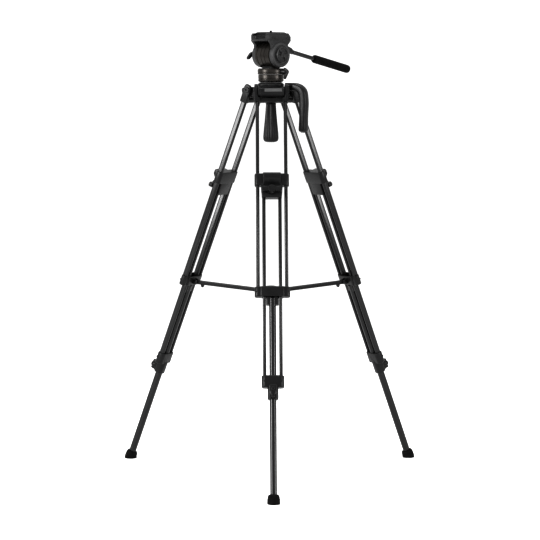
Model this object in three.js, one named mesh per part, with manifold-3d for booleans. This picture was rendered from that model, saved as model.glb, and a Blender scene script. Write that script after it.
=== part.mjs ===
// Video tripod: three twin-tube legs of three stages, a mid-level spreader, a bowl crown with a
// carry handle, and a fluid head with a sliding camera plate and a pan bar. Millimetres, +Z up.
import * as THREE from "three";
import { mergeVertices } from "three/addons/utils/BufferGeometryUtils.js";
import Module from "manifold-3d";

const wasm = await Module();
wasm.setup();

// ---- Driving dimensions ------------------------------------------------------------------------
const DEG = Math.PI / 180;
const GAP = 0.3; // clearance between neighbouring pieces
const AXIS_Y = 107.65; // tripod axis, so that the footprint is centred on the origin

const LEG_AZIMUTHS = [-90, 30, 150];
const LEG_NAMES = ["front", "right", "left"];
const LEG_ANGLE = 21.4; // from vertical, legs open
const PIVOT_R = 46;
const PIVOT_Z = 982;

const OUTER_X = 35.2; // outer tubes, either side of the leg's middle
const OUTER_W = 8.5;
const OUTER_D = 15;
const INNER_X = 19.9; // inner tubes
const INNER_W = 8.2;
const INNER_D = 14.5;
const LOWER_W = 16.5; // single lower tube
const LOWER_D = 18;
const WALL = 1.2;

const CHEEK_IN = 33.5;
const CHEEK_OUT = 42.5;
const YOKE_END = 34;
const BLOCK_S = 530; // spreader block, distance down the leg from the pivot
const BLOCK_HALF = 13;
const UPPER_CLAMP_S = 225;
const UPPER_CLAMP_END = 288;
const UPPER_KNOB_S = 270;
const LOWER_CLAMP_S = 741;
const LOWER_CLAMP_END = 771;
const COLLAR_END = 800;
const LOWER_KNOB_S = 786;
const GUIDE_S = 543;
const FOOT_S = 1033;
const FOOT_R = 15.4;

const ARM_OFFSET = 20; // arm pivot, inside the leg's plane
const ARM_W = 8;
const ARM_R = 5;
const HUB_R = 37; // hub pivots
const HUB_Z = 469.7;
const HUB_CAP_R = 22;

const LOBE_HALF = 33;
const LOBE_R = 21;
const CROWN_TOP = 990;
const CROWN_BOTTOM = 952.5;
const BALL_R = 30;
const BALL_Z = 1000;
const BOWL_RIM_R = 32.5;
const BOWL_RIM_TOP = 998;
const HANDLE_AZIMUTH = -30;
const HANDLE_T = 21; // thickness towards the hand
const HANDLE_W = 24;
const HANDLE_R = 106; // outer face
const HANDLE_ROOT = 44;
const HANDLE_TOP = 999.5;
const HANDLE_BOTTOM = 874;

const HEAD_YAW = -47;
const NECK_R = 32.2;
const PAN_R = 33.8;
const PAN_Z = 1021;
const LOCK_Z = 1027.5;
const TILT_Z = 1069.7;
const DRUM_R = 33;
const DRUM_HALF = 24.5;
const DISC_R = 30.8; // discs at the sides of the tilt frame
const SIDE_OUT = 38;
const PLATFORM_X = 30.75; // half width, along the tilt axis
const PLATFORM_Y = 41; // half length, along the lens axis
const PLATFORM_BOTTOM = 1104;
const PLATFORM_TOP = 1124.5;
const SLOT_FLOOR = 1118.4;
const SCREW_HEAD_TOP = 1122.6;
const PLATE_TOP = 1126;
const PAD_TOP = 1127.2;
const LATCH = [-12.9, -39.7, 1114.3]; // plate lever's pivot
const BAR_Y = 41;
const BAR_Z = 1081;
const BAR_X = 19;
const BAR_DROP = 12;
const BAR_R = 5.2;
const BAR_LENGTH = 227;
const GRIP_LENGTH = 133;
const GRIP_R = 10.5;

// ---- Solid helpers -----------------------------------------------------------------------------
const X = new THREE.Vector3(1, 0, 0);
const Y = new THREE.Vector3(0, 1, 0);
const Z = new THREE.Vector3(0, 0, 1);

function solidOf(geometry) {
  let g = geometry.clone();
  g.deleteAttribute("normal");
  g.deleteAttribute("uv");
  g = mergeVertices(g, 1e-4);
  const mesh = new wasm.Mesh({
    numProp: 3,
    vertProperties: new Float32Array(g.attributes.position.array),
    triVerts: new Uint32Array(g.index.array),
  });
  return new wasm.Manifold(mesh);
}

function union(...solids) {
  return solids.reduce((a, b) => a.add(b));
}

function cut(solid, ...tools) {
  return tools.reduce((a, b) => a.subtract(b), solid);
}

function placed(solid, matrix) {
  return solid.transform(matrix.elements);
}

// A box between two corners.
function box(x0, x1, y0, y1, z0, z1) {
  const g = new THREE.BoxGeometry(x1 - x0, y1 - y0, z1 - z0);
  g.translate((x0 + x1) / 2, (y0 + y1) / 2, (z0 + z1) / 2);
  return solidOf(g);
}

// A cylinder or cone along x, y or z, from a to b on that axis.
function round(axis, a, b, at, r0, r1 = r0, segments = 20) {
  const g = new THREE.CylinderGeometry(r1, r0, b - a, segments);
  g.translate(0, (a + b) / 2, 0);
  if (axis === "z") {
    g.applyMatrix4(new THREE.Matrix4().makeBasis(X, Z, Y.clone().negate()));
    g.translate(at[0], at[1], 0);
  } else if (axis === "x") {
    g.applyMatrix4(new THREE.Matrix4().makeBasis(Z, X, Y));
    g.translate(0, at[0], at[1]);
  } else {
    g.translate(at[0], 0, at[1]);
  }
  return solidOf(g);
}

// A solid of revolution about z from [radius, z] points that start and end on the axis.
function lathe(points, segments = 32) {
  const profile = points.map(([r, z]) => new THREE.Vector2(r, z));
  const g = new THREE.LatheGeometry(profile, segments);
  g.applyMatrix4(new THREE.Matrix4().makeBasis(X, Z, Y.clone().negate()));
  const solid = solidOf(g);
  return solid;
}

// A prism whose outline is [u, v] points: "z" draws in x, y; "x" draws in y, z; "y" draws in z, x.
function prism(axis, points, a, b, edge = 0) {
  const shape = new THREE.Shape(points.map(([u, v]) => new THREE.Vector2(u, v)));
  const g = new THREE.ExtrudeGeometry(shape, {
    depth: b - a - 2 * edge,
    bevelEnabled: edge > 0,
    bevelThickness: edge,
    bevelSize: edge,
    bevelOffset: -edge,
    bevelSegments: 1,
  });
  g.translate(0, 0, a + edge);
  if (axis === "x") {
    g.applyMatrix4(new THREE.Matrix4().makeBasis(Y, Z, X));
  } else if (axis === "y") {
    g.applyMatrix4(new THREE.Matrix4().makeBasis(Z, X, Y));
  }
  return solidOf(g);
}

// The outline of a rounded rectangle about a centre.
function roundedRect(w, h, r, cu = 0, cv = 0, n = 2) {
  const points = [];
  const corners = [
    [w / 2 - r, h / 2 - r, 0],
    [-w / 2 + r, h / 2 - r, 90],
    [-w / 2 + r, -h / 2 + r, 180],
    [w / 2 - r, -h / 2 + r, 270],
  ];
  for (const [u, v, start] of corners) {
    for (let i = 0; i <= n; i++) {
      const a = (start + (90 * i) / n) * DEG;
      points.push([cu + u + r * Math.cos(a), cv + v + r * Math.sin(a)]);
    }
  }
  return points;
}

// Points along an arc in a plane, angles in degrees.
function arc(cu, cv, r, from, to, n) {
  const points = [];
  for (let i = 0; i <= n; i++) {
    const a = (from + ((to - from) * i) / n) * DEG;
    points.push([cu + r * Math.cos(a), cv + r * Math.sin(a)]);
  }
  return points;
}

// An open-ended flat-oval tube along z.
function ovalTube(x, w, d, z0, z1) {
  const outer = roundedRect(w, d, w / 2 - 0.4, x, 0);
  const inner = roundedRect(w - 2 * WALL, d - 2 * WALL, w / 2 - 0.4 - WALL, x, 0);
  return cut(prism("z", outer, z0, z1), prism("z", inner, z0 - 1, z1 + 1));
}

// The room a flat-oval tube takes up in a piece that holds it.
function socket(x, w, d, z0, z1) {
  const outline = roundedRect(w + 2 * GAP, d + 2 * GAP, w / 2 - 0.4, x, 0);
  return prism("z", outline, z0, z1);
}

// ---- Materials ---------------------------------------------------------------------------------
const FINISHES = {
  tube: [0x1b1c1e, 0.36, 0.55],
  casting: [0x17181a, 0.5, 0.2],
  head: [0x3a3b3d, 0.45, 0.35],
  plastic: [0x141415, 0.55, 0.0],
  rubber: [0x0e0e0e, 0.9, 0.0],
  steel: [0x9a9a98, 0.3, 1.0],
};

const root = new THREE.Group();
root.name = "video_tripod";
const shift = new THREE.Matrix4().makeTranslation(0, AXIS_Y, 0);

function addPiece(name, solid, finish, matrix = new THREE.Matrix4()) {
  const world = placed(solid, new THREE.Matrix4().multiplyMatrices(shift, matrix));
  const mesh = world.getMesh();
  const geometry = new THREE.BufferGeometry();
  geometry.setAttribute("position", new THREE.BufferAttribute(mesh.vertProperties, 3));
  geometry.setIndex(new THREE.BufferAttribute(mesh.triVerts, 1));
  geometry.computeVertexNormals();
  const [color, roughness, metalness] = FINISHES[finish];
  const material = new THREE.MeshStandardMaterial({ color, roughness, metalness });
  const piece = new THREE.Mesh(geometry, material);
  piece.name = name;
  root.add(piece);
}

// ---- Legs: x across the leg, y outwards, z down the leg from the pivot ---------------------------
function legMatrix(azimuth) {
  const a = azimuth * DEG;
  const t = LEG_ANGLE * DEG;
  const out = new THREE.Vector3(Math.cos(a), Math.sin(a), 0);
  const across = new THREE.Vector3(-Math.sin(a), Math.cos(a), 0);
  const normal = out.clone().multiplyScalar(Math.cos(t)).addScaledVector(Z, Math.sin(t));
  const down = out.clone().multiplyScalar(Math.sin(t)).addScaledVector(Z, -Math.cos(t));
  const matrix = new THREE.Matrix4().makeBasis(across, normal, down);
  matrix.setPosition(out.x * PIVOT_R, out.y * PIVOT_R, PIVOT_Z);
  return matrix;
}

function yoke() {
  const outline = [[9.8, YOKE_END], [11, -7], [8, -13.5], [-4, -12.5], [-9.6, -4], [-9.8, YOKE_END]];
  const socketWall = OUTER_X - OUTER_W / 2 - 2.5;
  let solid = prism("x", roundedRect(12, 11.5, 2.5, 0, 28.2), -socketWall, socketWall);
  for (const side of [-1, 1]) {
    const a = side > 0 ? CHEEK_IN : -CHEEK_OUT;
    solid = solid.add(prism("x", outline, a, a + CHEEK_OUT - CHEEK_IN, 1));
    const inner = side > 0 ? socketWall - 0.5 : -CHEEK_OUT + 1;
    solid = solid.add(box(inner, inner + CHEEK_OUT - socketWall - 0.5, -9.8, 9.8, 22.5, YOKE_END));
  }
  for (const side of [-1, 1]) {
    solid = solid.subtract(socket(side * OUTER_X, OUTER_W, OUTER_D, 26, YOKE_END + 1));
  }
  return solid.subtract(round("x", -50, 50, [0, 0], 4 + GAP, 4 + GAP, 14));
}

function hingeBolt() {
  return union(
    round("x", -CHEEK_OUT - 1, CHEEK_OUT + 1, [0, 0], 4, 4, 14),
    round("x", -CHEEK_OUT - 3.2, -CHEEK_OUT - GAP, [0, 0], 7, 7.5, 14),
    round("x", CHEEK_OUT + GAP, CHEEK_OUT + 3.2, [0, 0], 7.5, 7, 14),
  );
}

function spreaderBlock() {
  const z0 = BLOCK_S - BLOCK_HALF;
  const z1 = BLOCK_S + BLOCK_HALF;
  let solid = prism("z", roundedRect(87, 18, 8.6, 0, 0, 3), z0, z1, 1.2);
  solid = solid.add(prism("z", roundedRect(62, 25, 5, 0, 0), z0, z1, 1.2));
  for (const side of [-1, 1]) {
    const a = side > 0 ? ARM_W / 2 + 0.6 : -ARM_W / 2 - 4.6;
    const ear = [[-11, BLOCK_S - 7], ...arc(-ARM_OFFSET, BLOCK_S, 5.5, -90, -270, 6), [-11, BLOCK_S + 7]];
    solid = solid.add(prism("x", ear, a, a + 4));
  }
  solid = solid.add(round("x", -ARM_W / 2 - 3, ARM_W / 2 + 3, [-ARM_OFFSET, BLOCK_S], 2.2, 2.2, 10));
  solid = solid.subtract(prism("z", roundedRect(49.6, 18.8, 7, 0, 0), z0 - 1, z1 + 1));
  for (const side of [-1, 1]) {
    solid = solid.subtract(socket(side * OUTER_X, OUTER_W, OUTER_D, z0 - 1, z1 - 3));
  }
  return solid;
}

function upperClamp() {
  const z0 = UPPER_CLAMP_S;
  const sleeveEnd = z0 + 31;
  let solid = prism("z", roundedRect(85.6, 19.6, 7, 0, 0), z0, sleeveEnd, 1.2);
  const web = [[-26.5, sleeveEnd - 2], [26.5, sleeveEnd - 2], [26.5, sleeveEnd + 8], [24.6, UPPER_CLAMP_END],
    [-24.6, UPPER_CLAMP_END], [-26.5, sleeveEnd + 8]];
  const webOutline = web.map(([x, z]) => [z, x]);
  solid = solid.add(prism("y", webOutline, -9.6, 11, 1));
  const boss = [[0, z0 + 1], [22, z0 + 1], [25.5, z0 + 4.5], [25.5, z0 + 16], [22.5, z0 + 19],
    [12, z0 + 31], [0, z0 + 31]];
  solid = solid.add(prism("x", boss, -22.5, 22.5, 1));
  solid = solid.add(round("y", 8, 13.5, [0, UPPER_KNOB_S], 9, 8, 16));
  for (const side of [-1, 1]) {
    solid = solid.subtract(socket(side * OUTER_X, OUTER_W, OUTER_D, z0 - 1, sleeveEnd + 1));
    solid = solid.subtract(socket(side * INNER_X, INNER_W, INNER_D, z0 + 38, UPPER_CLAMP_END + 1));
  }
  return solid.subtract(round("y", -3, 20, [0, UPPER_KNOB_S], 3.6 + GAP, 3.6 + GAP, 12));
}

function upperKnob() {
  const wing = [...arc(0, 22, 4.2, 0, 180, 4), ...arc(0, -22, 4.2, 180, 360, 4)];
  const moved = wing.map(([z, x]) => [z + UPPER_KNOB_S, x]);
  return union(
    round("y", -2, 15, [0, UPPER_KNOB_S], 3.6, 3.6, 12),
    round("y", 13.5 + GAP, 29, [0, UPPER_KNOB_S], 10, 8.5, 16),
    prism("y", moved, 15.5, 27, 1.6),
  );
}

function lowerClamp() {
  const z0 = LOWER_CLAMP_S;
  const z1 = LOWER_CLAMP_END;
  let solid = prism("z", roundedRect(54.8, 22, 9, 0, 0), z0, z1, 1.4);
  solid = solid.add(prism("z", roundedRect(26.5, 25.6, 8, 0, 0.4), z1 - 4, COLLAR_END, 1.2));
  solid = solid.add(prism("z", roundedRect(21, 14, 3, 0, 8.5), z1 - 6, COLLAR_END - 3, 1));
  for (const side of [-1, 1]) {
    solid = solid.subtract(socket(side * INNER_X, INNER_W, INNER_D, z0 - 1, z1 - 3));
  }
  const bore = roundedRect(LOWER_W + 2 * GAP, LOWER_D + 2 * GAP, 7.6, 0, 0, 3);
  solid = solid.subtract(prism("z", bore, z0 - 1, COLLAR_END + 1));
  return solid.subtract(round("y", 8, 30, [0, LOWER_KNOB_S], 3 + GAP, 3 + GAP, 12));
}

function lowerKnob() {
  const wing = [...arc(9.5, 0, 3.6, -90, 90, 4), ...arc(-9.5, 0, 3.6, 90, 270, 4)];
  const moved = wing.map(([z, x]) => [z + LOWER_KNOB_S, x]);
  return union(
    round("y", 10.2, 18, [0, LOWER_KNOB_S], 3, 3, 12),
    round("y", 15.5 + GAP, 27.5, [0, LOWER_KNOB_S], 7.5, 6.5, 14),
    prism("y", moved, 17.5, 29, 1.4),
  );
}

function lowerTube() {
  const outer = roundedRect(LOWER_W, LOWER_D, 7.6, 0, 0, 3);
  const inner = roundedRect(LOWER_W - 2.6, LOWER_D - 2.6, 6.3, 0, 0, 3);
  const guide = prism("z", roundedRect(30.4, 14, 4, 0, 0), GUIDE_S, GUIDE_S + 20, 1);
  const end = FOOT_S + 8;
  return cut(union(prism("z", outer, GUIDE_S + 4, end), guide), prism("z", inner, GUIDE_S - 1, end + 1));
}

function foot(matrix) {
  const s = FOOT_S;
  let solid = lathe([[0, s], [11.8, s], [13.4, s + 2], [14.9, s + 7], [FOOT_R, s + 12], [FOOT_R, s + 18],
    [14.4, s + 25], [10, s + 31], [0, s + 33]], 24);
  const pocket = roundedRect(LOWER_W + 2 * GAP, LOWER_D + 2 * GAP, 7.6, 0, 0, 3);
  solid = solid.subtract(prism("z", pocket, s - 1, s + 8.4));
  const ground = box(-2000, 2000, -2000, 2000, -200, 0);
  return cut(placed(solid, matrix), ground);
}

for (const [i, azimuth] of LEG_AZIMUTHS.entries()) {
  const leg = `leg_${LEG_NAMES[i]}`;
  const matrix = legMatrix(azimuth);
  addPiece(`${leg}_yoke`, yoke(), "casting", matrix);
  addPiece(`${leg}_hinge_bolt`, hingeBolt(), "steel", matrix);
  addPiece(`${leg}_spreader_block`, spreaderBlock(), "casting", matrix);
  for (const [end, side] of [["a", -1], ["b", 1]]) {
    const outer = ovalTube(side * OUTER_X, OUTER_W, OUTER_D, 26.3, BLOCK_S + BLOCK_HALF - 3.4);
    addPiece(`${leg}_outer_tube_${end}`, outer, "tube", matrix);
    const inner = ovalTube(side * INNER_X, INNER_W, INNER_D, UPPER_CLAMP_S + 38.3, LOWER_CLAMP_END - 3.4);
    addPiece(`${leg}_inner_tube_${end}`, inner, "tube", matrix);
  }
  addPiece(`${leg}_upper_clamp`, upperClamp(), "plastic", matrix);
  addPiece(`${leg}_upper_knob`, upperKnob(), "plastic", matrix);
  addPiece(`${leg}_lower_clamp`, lowerClamp(), "plastic", matrix);
  addPiece(`${leg}_lower_knob`, lowerKnob(), "plastic", matrix);
  addPiece(`${leg}_lower_tube`, lowerTube(), "tube", matrix);
  addPiece(`${leg}_foot`, foot(matrix), "rubber");
}

// ---- Spreader ----------------------------------------------------------------------------------
// The arm's own frame: x across, y from the block's pivot to the hub's pivot.
function armMatrix(azimuth) {
  const a = azimuth * DEG;
  const t = LEG_ANGLE * DEG;
  const out = new THREE.Vector3(Math.cos(a), Math.sin(a), 0);
  const across = new THREE.Vector3(-Math.sin(a), Math.cos(a), 0);
  const r = PIVOT_R + BLOCK_S * Math.sin(t) - ARM_OFFSET * Math.cos(t);
  const z = PIVOT_Z - BLOCK_S * Math.cos(t) - ARM_OFFSET * Math.sin(t);
  const along = out.clone().multiplyScalar(HUB_R - r).addScaledVector(Z, HUB_Z - z);
  const length = along.length();
  along.normalize();
  const matrix = new THREE.Matrix4().makeBasis(across, along, across.clone().cross(along));
  matrix.setPosition(out.x * r, out.y * r, z);
  return [matrix, length];
}

function spreaderArm(length) {
  const bar = [...arc(0, 0, ARM_R, 90, 270, 5), ...arc(length, 0, ARM_R, -90, 90, 5)];
  const hook = [[12, 3], [22, 3], [20, 11], [14, 11]];
  const solid = union(
    prism("x", bar, -ARM_W / 2, ARM_W / 2, 1),
    prism("x", hook, -2.5, 2.5),
  );
  return solid.subtract(round("x", -10, 10, [0, 0], 2.2 + GAP, 2.2 + GAP, 10));
}

function spreaderHub() {
  const low = HUB_Z - 8;
  const ceiling = HUB_Z + 6.6;
  let solid = lathe([[0, low], [19, low], [21, low + 2], [HUB_CAP_R, low + 6], [HUB_CAP_R, ceiling + 1],
    [19, ceiling + 4], [12, ceiling + 5.6], [0, ceiling + 6.2]], 24);
  for (const azimuth of LEG_AZIMUTHS) {
    const turn = new THREE.Matrix4().makeRotationZ(azimuth * DEG);
    const side = [[6, low], [HUB_R, low], ...arc(HUB_R, HUB_Z, 8, -90, 90, 5), [6, ceiling]];
    const lobe = prism("y", side.map(([x, z]) => [z, x]), -10, 10, 1);
    solid = solid.add(placed(lobe, turn));
    const pin = round("y", -12, 12, [HUB_R, HUB_Z], 3.4, 3.4, 12);
    solid = solid.add(placed(pin, turn));
  }
  for (const azimuth of LEG_AZIMUTHS) {
    const turn = new THREE.Matrix4().makeRotationZ(azimuth * DEG);
    const slot = union(
      box(3.2, 60, -5, 5, low - 5, ceiling),
      box(HUB_CAP_R + 0.5, 60, -5, 5, low - 5, ceiling + 20),
    );
    solid = solid.subtract(placed(slot, turn));
  }
  return solid;
}

for (const [i, azimuth] of LEG_AZIMUTHS.entries()) {
  const [matrix, length] = armMatrix(azimuth);
  addPiece(`spreader_arm_${LEG_NAMES[i]}`, spreaderArm(length), "casting", matrix);
}
addPiece("spreader_hub", spreaderHub(), "plastic");

// ---- Crown, carry handle, half ball and levelling grip -------------------------------------------
function crown() {
  let solid = round("z", CROWN_BOTTOM, CROWN_TOP, [0, 0], 40, 38, 28);
  const side = [[0, CROWN_BOTTOM], [28, CROWN_BOTTOM], [39, 967], ...arc(PIVOT_R, PIVOT_Z, LOBE_R, -100, 10, 5),
    [58, CROWN_TOP - 1], [0, CROWN_TOP - 1]];
  for (const azimuth of LEG_AZIMUTHS) {
    const turn = new THREE.Matrix4().makeRotationZ(azimuth * DEG);
    const lobe = prism("y", side.map(([x, z]) => [z, x]), -LOBE_HALF, LOBE_HALF, 1);
    solid = solid.add(placed(lobe, turn));
    const pocket = box(30, 70, -24, 24, CROWN_BOTTOM - 5, CROWN_BOTTOM + 0.01);
    solid = solid.subtract(placed(pocket, turn));
  }
  const rim = round("z", CROWN_TOP - 2, BOWL_RIM_TOP, [0, 0], BOWL_RIM_R + 0.6, BOWL_RIM_R, 28);
  solid = solid.add(rim);
  const mount = new THREE.Matrix4().makeRotationZ(HANDLE_AZIMUTH * DEG);
  const pad = box(20, HANDLE_ROOT - GAP, -10, 10, 968, CROWN_TOP - 1);
  solid = solid.add(placed(pad, mount));
  for (const azimuth of LEG_AZIMUTHS) {
    const turn = new THREE.Matrix4().makeRotationZ(azimuth * DEG);
    const hole = round("y", -50, 50, [PIVOT_R, PIVOT_Z], 4 + GAP, 4 + GAP, 14);
    solid = solid.subtract(placed(hole, turn));
  }
  const ball = new THREE.SphereGeometry(BALL_R + GAP + 0.2, 24, 12);
  ball.translate(0, 0, BALL_Z);
  solid = solid.subtract(solidOf(ball));
  return solid.subtract(round("z", CROWN_BOTTOM - 5, BALL_Z, [0, 0], 13, 13, 28));
}

function carryHandle() {
  const r = HANDLE_R - HANDLE_T / 2;
  const z = HANDLE_TOP - HANDLE_T / 2;
  const points = [[HANDLE_ROOT, z], [58, z], [74, z - 0.5], [85, z - 5], [92, z - 13], [r - 1, z - 26], [r, z - 40],
    [r - 0.4, 930], [r - 1.2, 900], [r - 2, HANDLE_BOTTOM]];
  const path = new THREE.CatmullRomCurve3(points.map(([x, v]) => new THREE.Vector3(x, 0, v)));
  const outline = roundedRect(HANDLE_T, HANDLE_W, 7, 0, 0, 3);
  const shape = new THREE.Shape(outline.map(([u, v]) => new THREE.Vector2(u, v)));
  const g = new THREE.ExtrudeGeometry(shape, { steps: 16, bevelEnabled: false, extrudePath: path });
  const plan = [[HANDLE_ROOT - 1, -8], [58, -8], [68, -HANDLE_W / 2], [130, -HANDLE_W / 2], [130, HANDLE_W / 2],
    [68, HANDLE_W / 2], [58, 8], [HANDLE_ROOT - 1, 8]];
  return solidOf(g).intersect(prism("z", plan, 860, 1010));
}

const handleMatrix = new THREE.Matrix4().makeRotationZ(HANDLE_AZIMUTH * DEG);
addPiece("crown", crown(), "casting");
addPiece("carry_handle", carryHandle(), "plastic", handleMatrix);

function halfBall() {
  const profile = [[0, 934], [5, 934], [5, 969]];
  for (let i = 0; i <= 7; i++) {
    const a = (-76 + 76 * (i / 7)) * DEG;
    profile.push([BALL_R * Math.cos(a), BALL_Z + BALL_R * Math.sin(a)]);
  }
  profile.push([28, BALL_Z + 0.7]);
  profile.push([0, BALL_Z + 0.7]);
  return lathe(profile, 28);
}

function levellingGrip() {
  const solid = lathe([[0, 849], [12, 849.5], [17.5, 852], [19.5, 858], [19, 870], [17.6, 885], [15.2, 910],
    [13.2, 935], [12, 948], [11, 949], [0, 949]], 24);
  return solid.subtract(round("z", 933, 960, [0, 0], 5 + GAP, 5 + GAP, 24));
}

addPiece("half_ball", halfBall(), "casting");
addPiece("levelling_grip", levellingGrip(), "plastic");

// ---- Head: x along the tilt axis, y to the rear ---------------------------------------------------
const headMatrix = new THREE.Matrix4().makeRotationZ(HEAD_YAW * DEG);
const tilt = [0, TILT_Z];

function headBase() {
  return lathe([[0, BALL_Z + 1], [26, BALL_Z + 1], [NECK_R, 1003.4], [NECK_R, PAN_Z - 1.6], [NECK_R - 1, PAN_Z - GAP],
    [0, PAN_Z - GAP]], 32);
}

function panBody() {
  const ring = lathe([[0, PAN_Z], [PAN_R - 1, PAN_Z], [PAN_R, PAN_Z + 1.5], [PAN_R, PAN_Z + 12.4],
    [PAN_R - 3, PAN_Z + 15], [0, PAN_Z + 15]], 32);
  const saddle = prism("x", [[-15, PAN_Z + 12], [15, PAN_Z + 12], [17, TILT_Z - 8], [-17, TILT_Z - 8]], -18, 18);
  let solid = union(ring, saddle, round("x", -DRUM_HALF, DRUM_HALF, tilt, DRUM_R, DRUM_R, 32));
  for (const at of [-12, 6]) {
    const groove = cut(
      round("x", at, at + 1.4, tilt, DRUM_R + 3, DRUM_R + 3, 32),
      round("x", at - 1, at + 2.4, tilt, DRUM_R - 1.2, DRUM_R - 1.2, 32),
      box(-40, 40, -50, 50, 990, TILT_Z - 26),
    );
    solid = solid.subtract(groove);
  }
  const turn = new THREE.Matrix4().makeRotationZ(12 * DEG);
  const boss = placed(round("x", 20, 36, [0, LOCK_Z], 6, 5.6, 20), turn);
  const hole = placed(round("x", 24, 40, [0, LOCK_Z], 3 + GAP, 3 + GAP, 12), turn);
  return solid.add(boss).subtract(hole);
}

function panLockKnob() {
  const z = LOCK_Z;
  const wing = [[40.6, z - 17], [42.5, z - 19], [45, z - 17], [52, z - 4], [53.5, z], [52, z + 3.5], [45, z + 9],
    [42, z + 10.5], [40.6, z + 9]];
  return union(
    round("x", 26, 40, [0, z], 3, 3, 12),
    round("x", 36 + GAP, 50, [0, z], 7.5, 5, 20),
    prism("y", wing.map(([x, v]) => [v, x]), -3.4, 3.4, 1.2),
  );
}

// A side of the tilt frame: a disc round the tilt axis, and a web that widens up to the platform.
function frameSide(x0, x1) {
  const z = PLATFORM_BOTTOM + 3;
  const web = [[-27.6, z - 12], [-39, z], [39, z], [27.6, z - 12], [DISC_R - 3, TILT_Z], [-DISC_R + 3, TILT_Z]];
  return union(
    round("x", x0, x1, tilt, DISC_R, DISC_R, 32),
    prism("x", web, x0, x1),
  );
}

function tiltFrame() {
  const end = [[-PLATFORM_Y + 4, PLATFORM_BOTTOM], [PLATFORM_Y - 4, PLATFORM_BOTTOM], [PLATFORM_Y, PLATFORM_BOTTOM + 4],
    [PLATFORM_Y, PLATFORM_TOP - 9], [PLATFORM_Y - 7.5, PLATFORM_TOP], [-PLATFORM_Y + 3.5, PLATFORM_TOP],
    [-PLATFORM_Y, PLATFORM_TOP - 5], [-PLATFORM_Y, PLATFORM_BOTTOM + 4]];
  let solid = prism("x", end, -PLATFORM_X, PLATFORM_X, 1.4);
  solid = solid.add(frameSide(DRUM_HALF + 0.5, SIDE_OUT - 3.5));
  solid = solid.add(frameSide(-SIDE_OUT + 3.5, -DRUM_HALF - 0.5));
  solid = solid.add(round("x", DRUM_HALF + 0.5, SIDE_OUT, tilt, DISC_R, DISC_R - 1, 32));
  solid = solid.add(round("x", -SIDE_OUT, -DRUM_HALF - 0.5, tilt, DISC_R - 1, DISC_R, 32));
  solid = solid.add(round("x", DRUM_HALF + 0.5, SIDE_OUT - 6, [BAR_Y, BAR_Z], 7.5, 7.5, 24));
  const lug = [[20, BAR_Z - 12], [BAR_Y, BAR_Z - 7.4], [BAR_Y + 2, BAR_Z + 7.2], [27, PLATFORM_BOTTOM - 4],
    [20, PLATFORM_BOTTOM - 4]];
  solid = solid.add(prism("x", lug, DRUM_HALF + 0.5, SIDE_OUT - 6));
  const hole = round("x", DRUM_HALF, SIDE_OUT - 8, [BAR_Y, BAR_Z], 3 + GAP, 3 + GAP, 12);
  const slot = [[-21.4, PLATFORM_TOP + 1], [-23.8, SLOT_FLOOR], [23.8, SLOT_FLOOR], [21.4, PLATFORM_TOP + 1]];
  const channel = prism("y", slot.map(([x, z]) => [z, x]).reverse(), -PLATFORM_Y - 5, PLATFORM_Y + 5);
  const leverSeat = box(LATCH[0] - 4.4, 20, -PLATFORM_Y - 1, -PLATFORM_Y + 5, LATCH[2] - 3.4, LATCH[2] + 3);
  return cut(solid, hole, channel, leverSeat);
}

function tiltLever() {
  const arm = [[-6, -5], [-20, -3], [-31, -11], [-35.5, -10.5], [-36, -5.5], [-25, 6.5], [-18, 9], [-5, 7]];
  const raised = arm.map(([y, z]) => [y, TILT_Z + z]);
  return union(
    round("x", -52, -SIDE_OUT - GAP, tilt, 7, 8.5, 20),
    prism("x", raised, -53, -45.5, 1.2),
  );
}

function sideKnob() {
  const a = SIDE_OUT + GAP;
  let solid = lathe([[0, a], [19, a], [20, a + 1], [20, a + 5], [18.6, a + 6.6], [0, a + 6.6]], 28);
  solid = placed(solid, new THREE.Matrix4().makeBasis(Z, Y.clone().negate(), X));
  solid = placed(solid, new THREE.Matrix4().makeTranslation(0, 0, TILT_Z));
  for (let i = 0; i < 3; i++) {
    const groove = box(a + 3.6, a + 12, 5, 24, -2.6, 2.6);
    const turn = new THREE.Matrix4().makeRotationX((40 + 120 * i) * DEG);
    turn.setPosition(0, 0, TILT_Z);
    solid = solid.subtract(placed(groove, turn));
  }
  return solid;
}

function plateLever() {
  return union(
    round("z", LATCH[2] - 3, LATCH[2] + 2.6, [LATCH[0], LATCH[1]], 3.4, 3.4, 12),
    box(LATCH[0], 18, LATCH[1] - 2.6, LATCH[1] + 1.6, LATCH[2] - 2, LATCH[2] + 1.6),
  );
}

function cameraPlate() {
  const dovetail = [[-23.3, SLOT_FLOOR + GAP], [23.3, SLOT_FLOOR + GAP], [20.6, PLATE_TOP], [-20.6, PLATE_TOP]];
  const body = prism("y", dovetail.map(([x, z]) => [z, x]).reverse(), -34, 34);
  const groove = prism("z", roundedRect(7.4, 40, 3.6), SLOT_FLOOR - 2, PLATE_TOP + 1);
  const head = prism("z", roundedRect(17.4, 50, 8), SLOT_FLOOR - 2, SCREW_HEAD_TOP + 0.4);
  return cut(body, groove, head);
}

function platePad() {
  const pad = prism("z", roundedRect(38, 66, 4), PLATE_TOP + 0.05, PAD_TOP);
  const window = prism("z", roundedRect(12, 44, 5.8), PLATE_TOP - 1, PAD_TOP + 1);
  return pad.subtract(window);
}

function cameraScrew() {
  return union(
    round("z", SLOT_FLOOR + 0.9, SCREW_HEAD_TOP, [0, 0], 8, 8, 24),
    round("z", SCREW_HEAD_TOP - 0.2, 1131.5, [0, 0], 3.1, 3.1, 16),
  );
}

const barMatrix = new THREE.Matrix4().makeRotationX(-BAR_DROP * DEG);
barMatrix.setPosition(BAR_X, BAR_Y, BAR_Z);
barMatrix.premultiply(headMatrix);

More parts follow.
